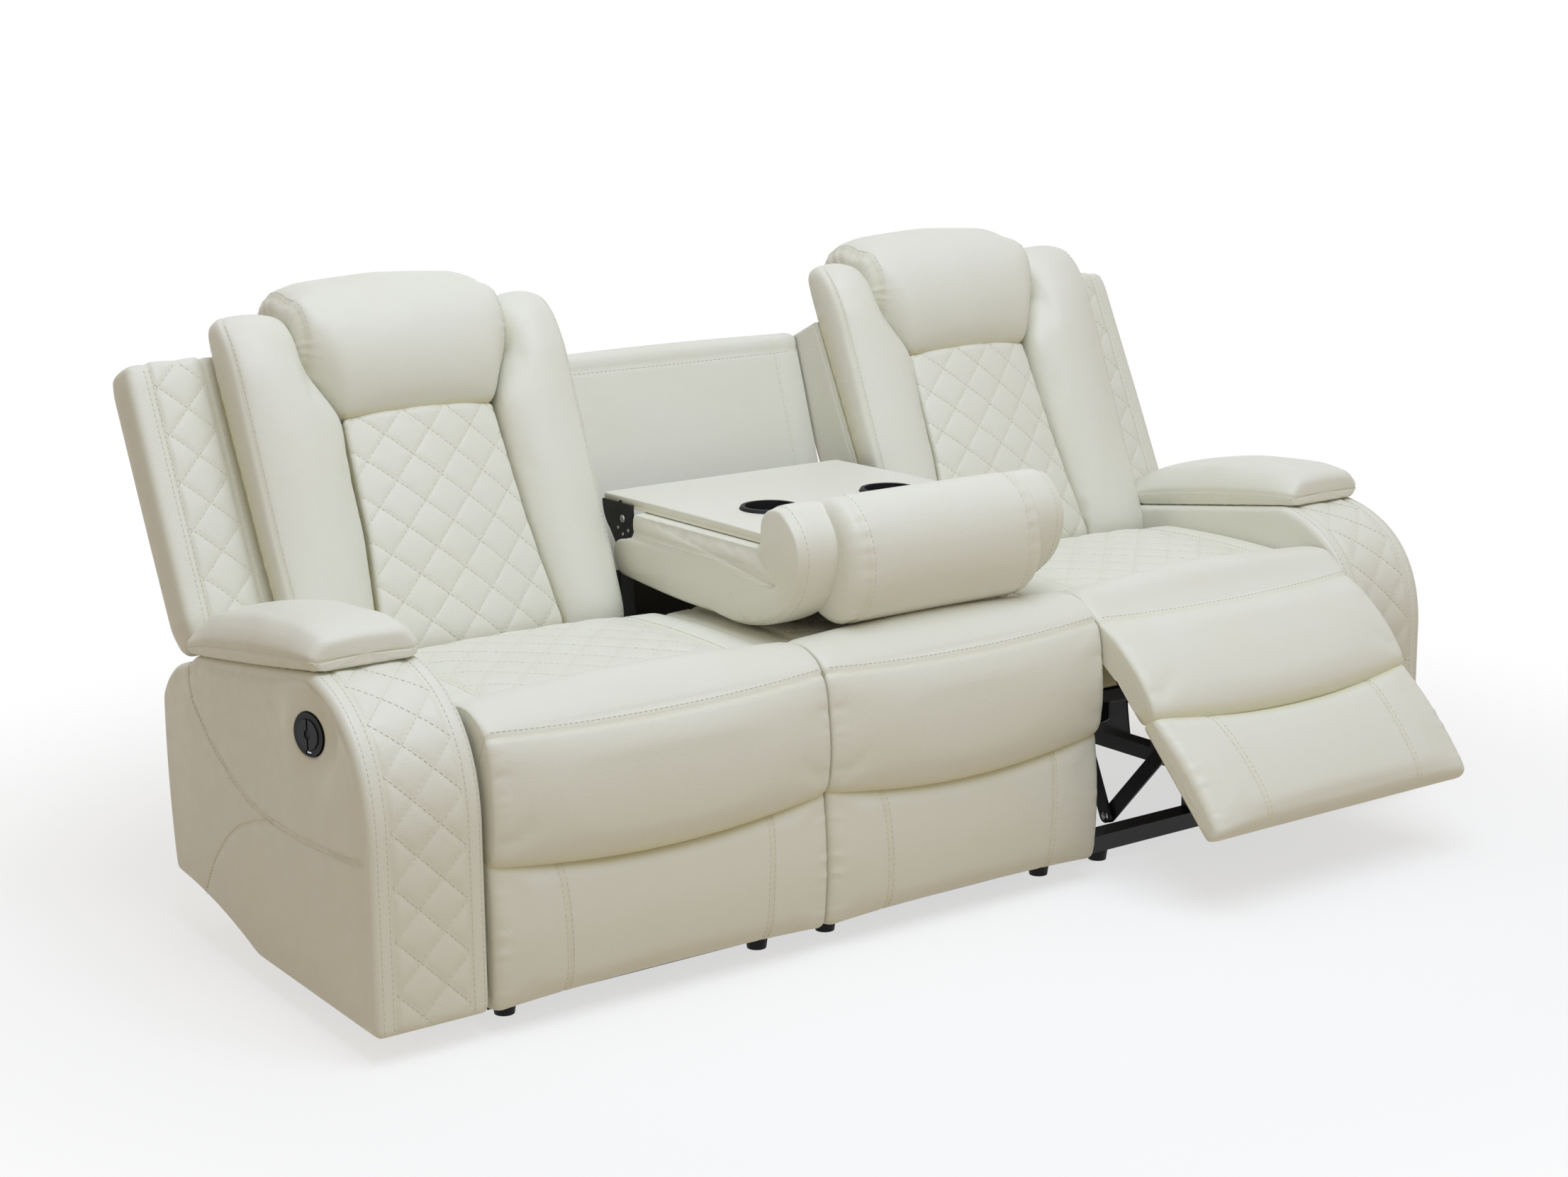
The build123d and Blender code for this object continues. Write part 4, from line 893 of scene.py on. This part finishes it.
def stripPoint(at, j):
    return np.array([np.interp(at, armAcross[edgeRows], stitchShape[:, j, k]) for k in range(3)])


def stripSpot(a, b):
    place = np.interp(b + 20, armRun, np.arange(len(armRun)))
    j = int(place)
    return stripPoint(a + stripLow, j) * (1 - (place - j)) + stripPoint(a + stripLow, j + 1) * (place - j)


stripRuns = []
for at in (stripLow - 5, stripHigh + 5, armWidth - 13, 9):
    stripRuns.append(np.array([stripPoint(at, j) for j in range(2, stripEnd)]))
stripLines = quiltLines(0, stripHigh - stripLow, -20, armRun[stripEnd] - 24, lambda a, b: (
    (a > 2) & (a < stripHigh - stripLow - 2) & (b > -12) & (b < armRun[stripEnd] - 26)))
for r in stripLines:
    stripRuns.append(np.array([stripSpot(a, b) for a, b in r]))
for sideName, sign in sides:
    piece = leatherPiece(sideName + "Arm", flipped(armShape, sign), armPaintedShade, "base",
                         [sideName + "_arm"])
    for run in stripRuns:
        seamRow("base", flipped(run, sign))
    for curve, offsets in armSeams:
        y, z = dense(curve).T
        for off in offsets:
            seamOn(piece, flipped(spots(1045, y, z + off), sign), (-sign, 0, 0), "base")
print("arms ready")

# Arm pads: a soft pillow on the sloping top of each arm, with a seam all round it.
pillow = {"step": 4.5, "thick": 80.0, "front": -350.0, "rear": 98.0, "seamHeight": 0.34, "swell": 8.0,
          "topY": -335.0, "topZ": 525.6, "slope": 8.1}


def armPadForm():
    def section(thick, inner, outer):
        band = thick * pillow["seamHeight"]
        return [(inner + 6, 0, 0), (outer - 12, 0, 0), (outer, band, 3), (outer - 26, thick - 5, 4),
                (inner + 26, thick - 5, 2), (inner, band, 0)]

    keys = [
        (pillow["front"], section(50, 868, 1047)), (-290, section(68, 866, 1050)),
        (-154, section(pillow["thick"], 866, 1051)), (10, section(72, 867, 1044)),
        (pillow["rear"], section(40, 871, 1034)),
    ]
    local, corner = loft(keys, pillow["step"], 7, 14, (16, 20), (0.8, 0.8), (None, 0))
    x, up, y = np.moveaxis(local, -1, 0)
    armTop = pillow["topZ"] - (y - pillow["topY"]) * math.tan(math.radians(pillow["slope"]))
    pinned = up < 3
    height = puckers(y + x, up - 8, 0.7, 30, 10)
    # Painted shade along the seam all round the pad.
    paintedShade = np.zeros_like(height)
    for column in (corner[2], corner[5]):
        off = np.arange(local.shape[1])[None, :] - column
        pinned = pinned | (np.abs(off) < 1)
        height = height + grooveAt(off * pillow["step"], 2.0, 4.5)
        paintedShade = paintedShade + 0.15 * ridge(off * pillow["step"], 4)
    world = raised(inflate(spots(x, y, armTop + up), pinned, pillow["swell"]), height)
    tracks = [(world + outward(world) * 0.4)[3:-3, column] for column in (corner[2] - 1, corner[5] + 1)]
    return world, paintedShade, tracks


padShape, padPaintedShade, padTracks = armPadForm()
for sideName, sign in sides:
    leatherPiece(sideName + "ArmPad", flipped(padShape, sign), padPaintedShade, "base", [sideName + "_arm_pad"])
    for track in padTracks:
        seamRow("base", flipped(track, sign))
print("arm pads ready")

# Fold-down table: two bolsters, a headrest roll, a quilted underside, and a top with two wells for the cups.
table = {"step": 4.5, "foot": 470.0, "boardFront": -325.0, "rear": 155.0,
         "endX": 267.0, "endNose": -428.0, "endTop": 670.0, "endSeam": 258.0, "endSwell": 5.0,
         "gatherZ": 566.0, "headHalf": 194.0, "nose": -440.0, "crest": 688.0, "rollSeam": 30.0,
         "rollSwell": 10.0, "quiltStep": 4.0, "quiltHalf": 168.0, "quiltY": -118.0, "pillow": 3.0, "groove": 1.2,
         "topStep": 5.0, "topHalf": 245.0, "weltZ": 603.0, "wellRadius": 43.5, "cupX": 122.0, "cupY": -150.0}


def tableBolsterForm():
    nose, top, foot = table["endNose"], table["endTop"], table["foot"]
    outline = [
        (92, foot + 16, 14), (100, 546, 0), (48, 550, 0), (44, 596, 0), (-324, 596, 0), (-332, 648, 6),
        (-358, top - 2, 8), (nose + 28, top - 16, 12), (nose, (top + foot) / 2 + 8, 14),
        (nose + 66, foot + 20, 14), (nose + 250, foot, 4),
    ]
    local, _ = loftAcross(180, table["endX"], outline, table["step"], 9, 3, (22, 32), (0.8, 0.8),
                          (-325, 596), 24, 3.0, (-378, 545))
    x, y, z = np.moveaxis(local, -1, 0)
    world = inflate(local, (z > 588) & (y > -318), table["endSwell"])
    away = x - table["endSeam"]
    height = grooveAt(away, 1.6, 4.0) * np.clip(smoothStep(594, 584, z) + smoothStep(-330, -340, y), 0, 1)
    gathered = smoothStep(250, 260, x) * smoothStep(-310, -280, y) * smoothStep(40, 10, y)
    height += puckers(y, z - 584, 1.5, 58, 16) * gathered
    height += grooveAt(z - table["gatherZ"], 1.6, 4.0) * smoothStep(254, 262, x) * smoothStep(-300, -280, y)
    # Painted shade along the end seam.
    return raised(world, height), 0.12 * ridge(away, 4)


def tableRollForm():
    nose, crest, foot, half = table["nose"], table["crest"], table["foot"], table["headHalf"]
    front = table["boardFront"]
    outline = [(front, 526, 0), (front, 636, 12), (nose + 36, crest - 10, 20),
               (nose - 28, (crest + foot) / 2, 26), (nose + 40, foot + 4, 10)]
    local, _ = loftAcross(-half, half, outline, table["step"], 10, 5, (30, 30), (0.9, 0.9), (front, None))
    x, y, z = np.moveaxis(local, -1, 0)
    away = np.abs(x) - (half - table["rollSeam"])
    world = inflate(local, (y > -332) | (np.abs(away) < 3), table["rollSwell"])
    height = grooveAt(away, 3.0, 5.0) + puckers(np.arctan2(z - 580, y + 380) * 110, away, 1.3, 30, 10)
    # Painted shade along the side seams.
    return raised(world, height * smoothStep(-328, -345, y)), 0.15 * ridge(away, 4)


def tableQuiltForm():
    half = table["quiltHalf"]
    outline = [(85, 504, 0), (85, 595, 0), (-322, 595, 0), (-322, 504, 9)]
    local, _ = loftAcross(-half, half, outline, table["quiltStep"], 6, 3, (10, 10), (0.6, 0.6), (None, 595))
    x, y, z = np.moveaxis(local, -1, 0)
    under = smoothStep(515, 508, z)
    height, line = quilting(x, y - table["quiltY"], table["pillow"], table["groove"], 3.0)
    # Painted shade along the quilting lines.
    return raised(local, height * under), line * 0.12 * under


# The top is thin foam and leather wrapped round the board, with a welt half way down its edge.
def tableTopForm():
    front, rear, half = table["boardFront"], table["rear"], table["topHalf"]
    outline = [(rear, 597, 0), (rear, 614, 2), (front, 614, 0), (front, 597, 0)]
    local, _ = loftAcross(-half, half, outline, table["topStep"], 4, 2, (6, 6), (1.0, 0.7), (None, 602))
    x, y, z = np.moveaxis(local, -1, 0)
    edge = np.maximum(np.abs(x) - half + 9, y - rear + 8)
    height = grooveAt(z - table["weltZ"], 1.2, 2.0) * smoothStep(0, 4, edge)
    # Painted shade in the welt groove.
    return raised(local, height), np.clip(-height * 0.3, 0, 1)


def cutWells(piece, low, high):
    for sign in (-1, 1):
        bpy.ops.mesh.primitive_cylinder_add(
            radius=table["wellRadius"] / 1000, depth=(high - low) / 1000, vertices=48,
            location=tuple(toFrame([sign * table["cupX"], table["cupY"], (low + high) / 2])),
        )
        well = bpy.context.object
        cut = piece.modifiers.new("well", "BOOLEAN")
        cut.object = well
        cut.operation = "DIFFERENCE"
        bpy.context.view_layer.objects.active = piece
        bpy.ops.object.modifier_apply(modifier="well")
        bpy.data.objects.remove(well)


shape, paintedShade = tableBolsterForm()
arc = np.radians(np.arange(-150, 100, 5))
for sideName, sign in sides:
    name = "table" + sideName.capitalize() + "Bolster"
    piece = leatherPiece(name, flipped(shape, sign), paintedShade, "table", ["table_bolsters"])
    gather = [(sign * 300, y, table["gatherZ"] - 4) for y in (70, -296)]
    seamOn(piece, dense(gather), (-sign, 0, 0), "table")
    x = sign * (table["endSeam"] + 4)
    seamNear(piece, spots(x, -360 - 120 * np.cos(arc), 576 + 120 * np.sin(arc)), "table")
shape, paintedShade = tableRollForm()
piece = leatherPiece("tableHeadrest", shape, paintedShade, "table", ["table_headrest"])
arc = np.radians(np.arange(-110, 80, 5))
for sign in (-1, 1):
    x = sign * (table["headHalf"] - table["rollSeam"] - 7)
    seamNear(piece, spots(x, -360 - 130 * np.cos(arc), 575 + 120 * np.sin(arc)), "table")
shape, paintedShade = tableQuiltForm()
cutWells(leatherPiece("tableQuilt", shape, paintedShade, "table", ["table_back_panel"]), 546, 616)
shape, paintedShade = tableTopForm()
cutWells(leatherPiece("tableTop", shape, paintedShade, "table", ["table_board"]), 580, 630)
print("table ready")

# The fixed panel behind the table, leaning back; its face passes through faceY at faceZ.
rearPanel = {"step": 6.0, "half": 279.0, "deep": 56.0, "faceY": 223.8, "faceZ": 505.0, "slope": 18.0,
             "crown": 3.0, "crownHalf": 267.0, "seamX": 232.0, "seamZ": 792.0}


def faceY(z, deep=0.0):
    return rearPanel["faceY"] + (z - rearPanel["faceZ"]) * math.tan(math.radians(rearPanel["slope"])) + deep


def rearPanelForm():
    half, deep, seamX = rearPanel["half"], rearPanel["deep"], rearPanel["seamX"]
    outline = [
        (faceY(278), 278, 0), (faceY(814), 814, 6), (faceY(808, deep), 808, 0), (faceY(278, deep), 218, 0),
        (140, 45, 0), (110, 45, 0), (110, 278, 0),
    ]
    local, _ = loftAcross(-half, half, outline, rearPanel["step"], 5, 3, (5, 5), (0.7, 0.3), (None, None))
    x, y, z = np.moveaxis(local, -1, 0)
    front = smoothStep(0, 6, faceY(z, 26) - y) * smoothStep(290, 310, z)
    both = front + smoothStep(0, 6, y - faceY(z, 30)) * smoothStep(230, 260, z)
    height = grooveAt(z - rearPanel["seamZ"], 1.8, 4) * both
    height += (grooveAt(x - seamX, 1.8, 4) + grooveAt(x + seamX, 1.8, 4)) * front
    height += rearPanel["crown"] * np.cos(x / rearPanel["crownHalf"] * math.pi / 2) * both
    # Painted shade in the seam grooves.
    return raised(local, height), np.clip(-height * 0.1, 0, 1)


# Seams of the panel: X and Z of both ends, how far behind the face, and which way the needle goes.
rearSeams = (
    ((-255, 788), (255, 788), 0.0, 1), ((-228, 300), (-228, 786), 0.0, 1), ((228, 300), (228, 786), 0.0, 1),
    ((-255, 786), (255, 786), rearPanel["deep"], -1),
)
shape, paintedShade = rearPanelForm()
piece = leatherPiece("centreRearPanel", shape, paintedShade, "base", ["centre_rear_panel"])
for first, last, deep, way in rearSeams:
    seamOn(piece, dense([(x, faceY(z, deep), z) for x, z in (first, last)]), (0, way, 0), "base")
print("rear panel ready")


# Starts a Geometry Nodes tree with a named input for each size.
def newTree(name, sizes):
    tree = bpy.data.node_groups.new(name, "GeometryNodeTree")
    tree.interface.new_socket("Geometry", in_out="INPUT", socket_type="NodeSocketGeometry")
    for size in sizes:
        tree.interface.new_socket(size, in_out="INPUT", socket_type="NodeSocketFloat")
    tree.interface.new_socket("Geometry", in_out="OUTPUT", socket_type="NodeSocketGeometry")
    return tree, addNode(tree, "NodeGroupInput").outputs


# Runs a tree on a mesh of seams or spots and keeps what it lays there as a piece.
def grow(name, guide, tree, sizes):
    holder = newObject(name + "Guide", guide)
    modifier = holder.modifiers.new("grow", "NODES")
    modifier.node_group = tree
    for socket in tree.interface.items_tree:
        if socket.name in sizes:
            modifier[socket.identifier] = sizes[socket.name]
    graph = bpy.context.evaluated_depsgraph_get()
    solid = bpy.data.meshes.new_from_object(holder.evaluated_get(graph))
    holder.modifiers.remove(modifier)
    bpy.data.objects.remove(holder)
    solid.name = name
    piece = newObject(name, solid)
    return piece


# Stitches: one tree lays a short thread along every seam. Metres; the length is half of a stitch.
stitch = {"Pitch": 0.0088, "Stitch Length": 0.0032, "Thread Radius": 0.00072}


def stitchTree():
    tree, given = newTree("stitches", stitch)
    radius = given["Thread Radius"]
    curve = addNode(tree, "GeometryNodeMeshToCurve", {"Mesh": given["Geometry"]}).outputs[0]
    even = addNode(tree, "GeometryNodeResampleCurve", {"Curve": curve, "Length": given["Pitch"]},
                   mode="LENGTH").outputs[0]
    tangent = addNode(tree, "GeometryNodeInputTangent").outputs[0]
    turn = addNode(tree, "FunctionNodeAlignRotationToVector", {"Vector": tangent}, axis="Z").outputs[0]
    bead = addNode(tree, "GeometryNodeMeshUVSphere", in_Segments=5, in_Rings=4, in_Radius=1.0).outputs[0]
    size = addNode(tree, "ShaderNodeCombineXYZ", {0: radius, 1: radius, 2: given["Stitch Length"]}).outputs[0]
    sized = addNode(tree, "GeometryNodeTransform", {"Geometry": bead, "Scale": size}).outputs[0]
    laid = addNode(tree, "GeometryNodeInstanceOnPoints",
                   {"Points": even, "Instance": sized, "Rotation": turn}).outputs[0]
    real = addNode(tree, "GeometryNodeRealizeInstances", {"Geometry": laid}).outputs[0]
    done = addNode(tree, "GeometryNodeSetMaterial", {"Geometry": real}, in_Material=thread).outputs[0]
    addNode(tree, "NodeGroupOutput", {"Geometry": done})
    return tree


def sew(name, runs):
    verts, edges = [], []
    for run in runs:
        first = len(verts)
        verts += run
        edges += [(first + i, first + i + 1) for i in range(len(run) - 1)]
    guide = bpy.data.meshes.new(name + "Guide")
    guide.from_pydata(verts, edges, [])
    return grow(name, guide, stitchNodes, stitch)


stitchNodes = stitchTree()
for name, restBody, start, end, seam in chaiseStitches:
    piece = sew(name + "ChaiseStitches", [seam])
    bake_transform(piece)
for body, runs in stitchRuns.items():
    piece = sew(body + "Stitches", runs)
    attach(piece, body)
    print("stitches on", body, len(piece.data.polygons))


def block(name, low, high, rounded, material, place=list):
    plank = bmesh.new()
    bmesh.ops.create_cube(plank, size=1.0)
    for corner in plank.verts:
        corner.co = toFrame(place(high[k] if corner.co[k] > 0 else low[k] for k in range(3)))
    bmesh.ops.bevel(plank, geom=plank.edges[:], offset=rounded, segments=2, affect="EDGES")
    bmesh.ops.recalc_face_normals(plank, faces=plank.faces)
    mesh = bpy.data.meshes.new(name)
    plank.to_mesh(mesh)
    plank.free()
    mesh.materials.append(material)
    piece = newObject(name, mesh)
    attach(piece, "base")


# Black boards: battens down the inner sides of the arms close the slot beside each front pad, and a sheet
# on the face of the rear panel darkens the space under the folded table.
boards = {
    "leftArmBatten": ((-866.0, -438.0, 58.0), (-847.0, -300.0, 277.0)),
    "rightArmBatten": ((847.0, -438.0, 58.0), (866.0, -300.0, 277.0)),
}
sheet = {"low": (-262.0, -13.0, 320.0), "high": (262.0, -8.0, 464.0)}


def againstPanel(corner):
    x, deep, z = corner
    return x, faceY(z, deep), z


for name, (low, high) in boards.items():
    block(name, low, high, 0.0025, blackPly)
block("centreSeatSheet", sheet["low"], sheet["high"], 0.0015, blackPly, againstPanel)

# A bright contact tongue sits in the port of each control; across, up and out from the middle of the face.
tongue = {"low": (-4.6, -27.0, -7.5), "high": (4.6, -24.6, -0.8), "proud": 2.5, "turn": 12.0}


def onControl(corner, sign):
    across, up, out = corner
    x, y, z = arm["control"]
    out += tongue["proud"]
    c, s = math.cos(math.radians(tongue["turn"])), math.sin(math.radians(tongue["turn"]))
    return sign * (x + across * s + out * c), y + across * c - out * s, z + up


for sideName, sign in sides:
    block(sideName + "PortTongue", tongue["low"], tongue["high"], 0.0003, zinc,
          lambda corner: onControl(corner, sign))
print("boards and tongues ready")

# Rivets: one tree sets a domed head on every spot, with its axis along X. Head sizes are in metres.
rivet = {"Head Radius": 0.0065, "Head Height": 0.0026}
# Where they sit, as Y and Z; the hinge's also have a share of the full size.
rivetAt = {"tube": (-340.0, 250.0), "linkFoot": (-271.0, 65.0), "linkEnd": (-439.0, 252.0), "linkSize": 1.2,
           "legs": ((-278, 238), (-252, 238), (7, 240), (33, 240)), "hingeX": (-250.0, 250.0),
           "hinge": ((88, 578, 1.0), (72, 560, 0.45), (88, 552, 0.45), (102, 561, 0.45))}


def rivetTree():
    tree, given = newTree("rivets", rivet)
    radius = given["Head Radius"]
    head = addNode(tree, "GeometryNodeMeshUVSphere", in_Segments=16, in_Rings=10, in_Radius=1.0).outputs[0]
    size = addNode(tree, "ShaderNodeCombineXYZ", {0: given["Head Height"], 1: radius, 2: radius}).outputs[0]
    sized = addNode(tree, "GeometryNodeTransform", {"Geometry": head, "Scale": size}).outputs[0]
    share = addNode(tree, "GeometryNodeInputNamedAttribute", data_type="FLOAT", in_Name="size").outputs[0]
    laid = addNode(tree, "GeometryNodeInstanceOnPoints",
                   {"Points": given["Geometry"], "Instance": sized, "Scale": share}).outputs[0]
    real = addNode(tree, "GeometryNodeRealizeInstances", {"Geometry": laid}).outputs[0]
    smooth = addNode(tree, "GeometryNodeSetShadeSmooth", {"Geometry": real}).outputs[0]
    done = addNode(tree, "GeometryNodeSetMaterial", {"Geometry": smooth}, in_Material=zinc).outputs[0]
    addNode(tree, "NodeGroupOutput", {"Geometry": done})
    return tree


rivetSpots = {"table": [(x, *spot) for x in rivetAt["hingeX"] for spot in rivetAt["hinge"]], "base": []}
for sideName, sign in sides:
    opened = sofa["rightOpen"] if sideName == "right" else 0.0
    edges = {node: [corner.x * 1000 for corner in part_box(sideName + "_" + node)]
             for node in ("torque_tube", "crank_links", "coupler_links", "mechanism_plates")}
    foot = turnAbout(*rivetAt["linkFoot"], opened, rivetAt["tube"])
    end = turnAbout(*rivetAt["linkEnd"], opened)
    crank = [(x, *rivetAt["tube"]) for x in edges["torque_tube"]] + [(x, *foot) for x in edges["crank_links"]]
    rivetSpots[sideName + "_crank"] = [(*spot, rivetAt["linkSize"]) for spot in crank]
    rivetSpots[sideName + "_footrest"] = [(x, *end, rivetAt["linkSize"]) for x in edges["coupler_links"]]
    rivetSpots["base"] += [(x, y, z, 1.0) for x in edges["mechanism_plates"] for y, z in rivetAt["legs"]]
rivetNodes = rivetTree()
for body, heads in rivetSpots.items():
    heads = np.array(heads)
    guide = bpy.data.meshes.new(body + "RivetsGuide")
    guide.from_pydata(toFrame(heads[:, :3]).tolist(), [], [])
    guide.attributes.new("size", "FLOAT", "POINT").data.foreach_set("value", heads[:, 3].astype(np.float32))
    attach(grow(body + "Rivets", guide, rivetNodes, rivet), body)
print("rivets set")

# Rigid pieces keep their CAD meshes.
# The black plywood on the seat decks and the centre seat frame is painted shade for the dim space under the
# seats.
finishes = {
    steel: ["base_front_rail", "base_rear_rail", "base_side_rails", "table_hinge_arms",
            "table_hinge_brackets"],
    plastic: ["glide_feet", "cup_holders"], buttonPlastic: [], blackPly: ["centre_seat_frame"],
}
sideFinishes = {
    steel: ["mechanism_plates", "actuator_track", "actuator_carriage", "torque_tube", "crank_links",
            "coupler_links", "footrest_board"],
    plastic: ["control_bezel", "actuator_motor"], buttonPlastic: ["open_button", "close_button"],
    blackPly: ["seat_deck"],
}
for material, nodes in finishes.items():
    nodes = nodes + [sideName + "_" + node for sideName, _ in sides for node in sideFinishes[material]]
    for node in nodes:
        mesh = cadNodes[node].data
        mesh.materials.clear()
        mesh.materials.append(material)
# The back frame is covered; its pivot ears below the cover are steel.
for sideName, _ in sides:
    mesh = cadNodes[sideName + "_back_frame"].data
    mesh.materials.clear()
    for material in (hide, steel):
        mesh.materials.append(material)
    for face in mesh.polygons:
        y, z = face.center.y * 1000 - shiftY, face.center.z * 1000
        h = y * leanSin + (z - sofa["seatTop"]) * leanCos
        face.material_index = 1 if h < back["frameFoot"] else 0
print("rigid pieces finished")

# The camera stands where the photograph was taken: degrees, millimetres, and the lens for a 36 mm sensor.
view = {"yaw": 36.117, "pitch": 12.647, "roll": -0.558, "lens": 63.39, "sensor": 36.0,
        "place": (-2678.0, -3691.0, 1463.0)}
cameraData = bpy.data.cameras.new("photoCamera")
camera = newObject("photoCamera", cameraData)
cameraData.sensor_width = view["sensor"]
cameraData.lens = view["lens"]
yaw, pitch, tilt = (math.radians(view[k]) for k in ("yaw", "pitch", "roll"))
ahead = Vector((math.sin(yaw) * math.cos(pitch), math.cos(yaw) * math.cos(pitch), -math.sin(pitch)))
right = Vector((math.cos(yaw), -math.sin(yaw), 0))
up = right.cross(ahead)
c, s = math.cos(tilt), math.sin(tilt)
pose = Matrix((right * c + up * s, up * c - right * s, -ahead)).transposed().to_4x4()
pose.translation = Vector(toFrame(view["place"]))
camera.matrix_world = pose
scene.camera = camera
scene.view_settings.view_transform = "Standard"

studio = {"half": 9.0, "bounce": "#dacdb6", "dome": "#fff1dc", "domeLevel": 0.36, "white": "#ffffff",
          "paintTo": 1.15, "backdropFrom": 2.1, "leastGlow": 0.65}


# What the eye sees straight, in a gloss or through a clear piece, as opposed to what lights the sofa.
def seenRays(tree, rays):
    seen = rays["Is Camera Ray"]
    for kind in ("Is Glossy Ray", "Is Transmission Ray"):
        seen = addNode(tree, "ShaderNodeMath", {0: seen, 1: rays[kind]}, operation="MAXIMUM").outputs[0]
    return seen


# Matt white paint that runs out to a white backdrop; the backdrop only shows and lights nothing.
def floorPaint():
    material, tree, shader, place = newMaterial("paleStudioFloor")
    outwards = addNode(tree, "ShaderNodeVectorMath", {0: place}, operation="LENGTH").outputs["Value"]
    fade = addNode(tree, "ShaderNodeMapRange", {"Value": outwards}, interpolation_type="SMOOTHSTEP",
                   in_1=studio["paintTo"], in_2=studio["backdropFrom"], in_3=studio["leastGlow"]).outputs[0]
    rays = addNode(tree, "ShaderNodeLightPath").outputs
    paint = addNode(tree, "ShaderNodeMix", {"Factor": rays["Is Camera Ray"]}, data_type="RGBA",
                    in_A=hexColour(studio["bounce"]), in_B=hexColour(studio["white"]))
    addNode(tree, shader, {"Base Color": paint.outputs["Result"]}, in_Roughness=0.9, in_Specular_IOR_Level=0.0)
    seen = seenRays(tree, rays)
    share = addNode(tree, "ShaderNodeMath", {0: fade, 1: seen}, operation="MULTIPLY").outputs[0]
    glow = addNode(tree, "ShaderNodeEmission", in_Strength=1.0).outputs[0]
    both = addNode(tree, "ShaderNodeMixShader", {0: share, 1: shader.outputs[0], 2: glow}).outputs[0]
    addNode(tree, tree.nodes["Material Output"], {"Surface": both})
    return material


floorMesh = bpy.data.meshes.new("studioFloor")
corners = [(x * studio["half"], y * studio["half"], 0) for x, y in ((-1, -1), (1, -1), (1, 1), (-1, 1))]
floorMesh.from_pydata(corners, [], [(0, 1, 2, 3)])
floorMesh.materials.append(floorPaint())
newObject("studioFloor", floorMesh)

sky = bpy.data.worlds.new("studio")
scene.world = sky
sky.use_nodes = True
skyTree = sky.node_tree
seen = seenRays(skyTree, addNode(skyTree, "ShaderNodeLightPath").outputs)
level = addNode(skyTree, "ShaderNodeMapRange", {"Value": seen}, in_3=studio["domeLevel"], in_4=1.0)
tone = addNode(skyTree, "ShaderNodeMix", {"Factor": seen}, data_type="RGBA",
               in_A=hexColour(studio["dome"]), in_B=hexColour(studio["white"]))
addNode(skyTree, skyTree.nodes["Background"], {"Strength": level.outputs[0], "Color": tone.outputs["Result"]})

lamps = {
    "mainSoftbox": {"place": (-0.35, -1.8, 4.2), "size": 3.2, "power": 115.0, "colour": "#dfecff"},
    "topSoftbox": {"place": (-0.3, 0.9, 4.2), "size": 3.0, "power": 21.0, "colour": "#dfecff"},
}
lampAim = Vector((0, 0, 0.45))
for name, lamp in lamps.items():
    light = bpy.data.lights.new(name, "AREA")
    light.shape = "SQUARE"
    light.size = lamp["size"]
    light.energy = lamp["power"]
    light.color = hexColour(lamp["colour"])[:3]
    holder = newObject(name, light)
    holder.location = lamp["place"]
    holder.rotation_euler = (lampAim - Vector(lamp["place"])).to_track_quat("-Z", "Y").to_euler()
print("camera and light ready")
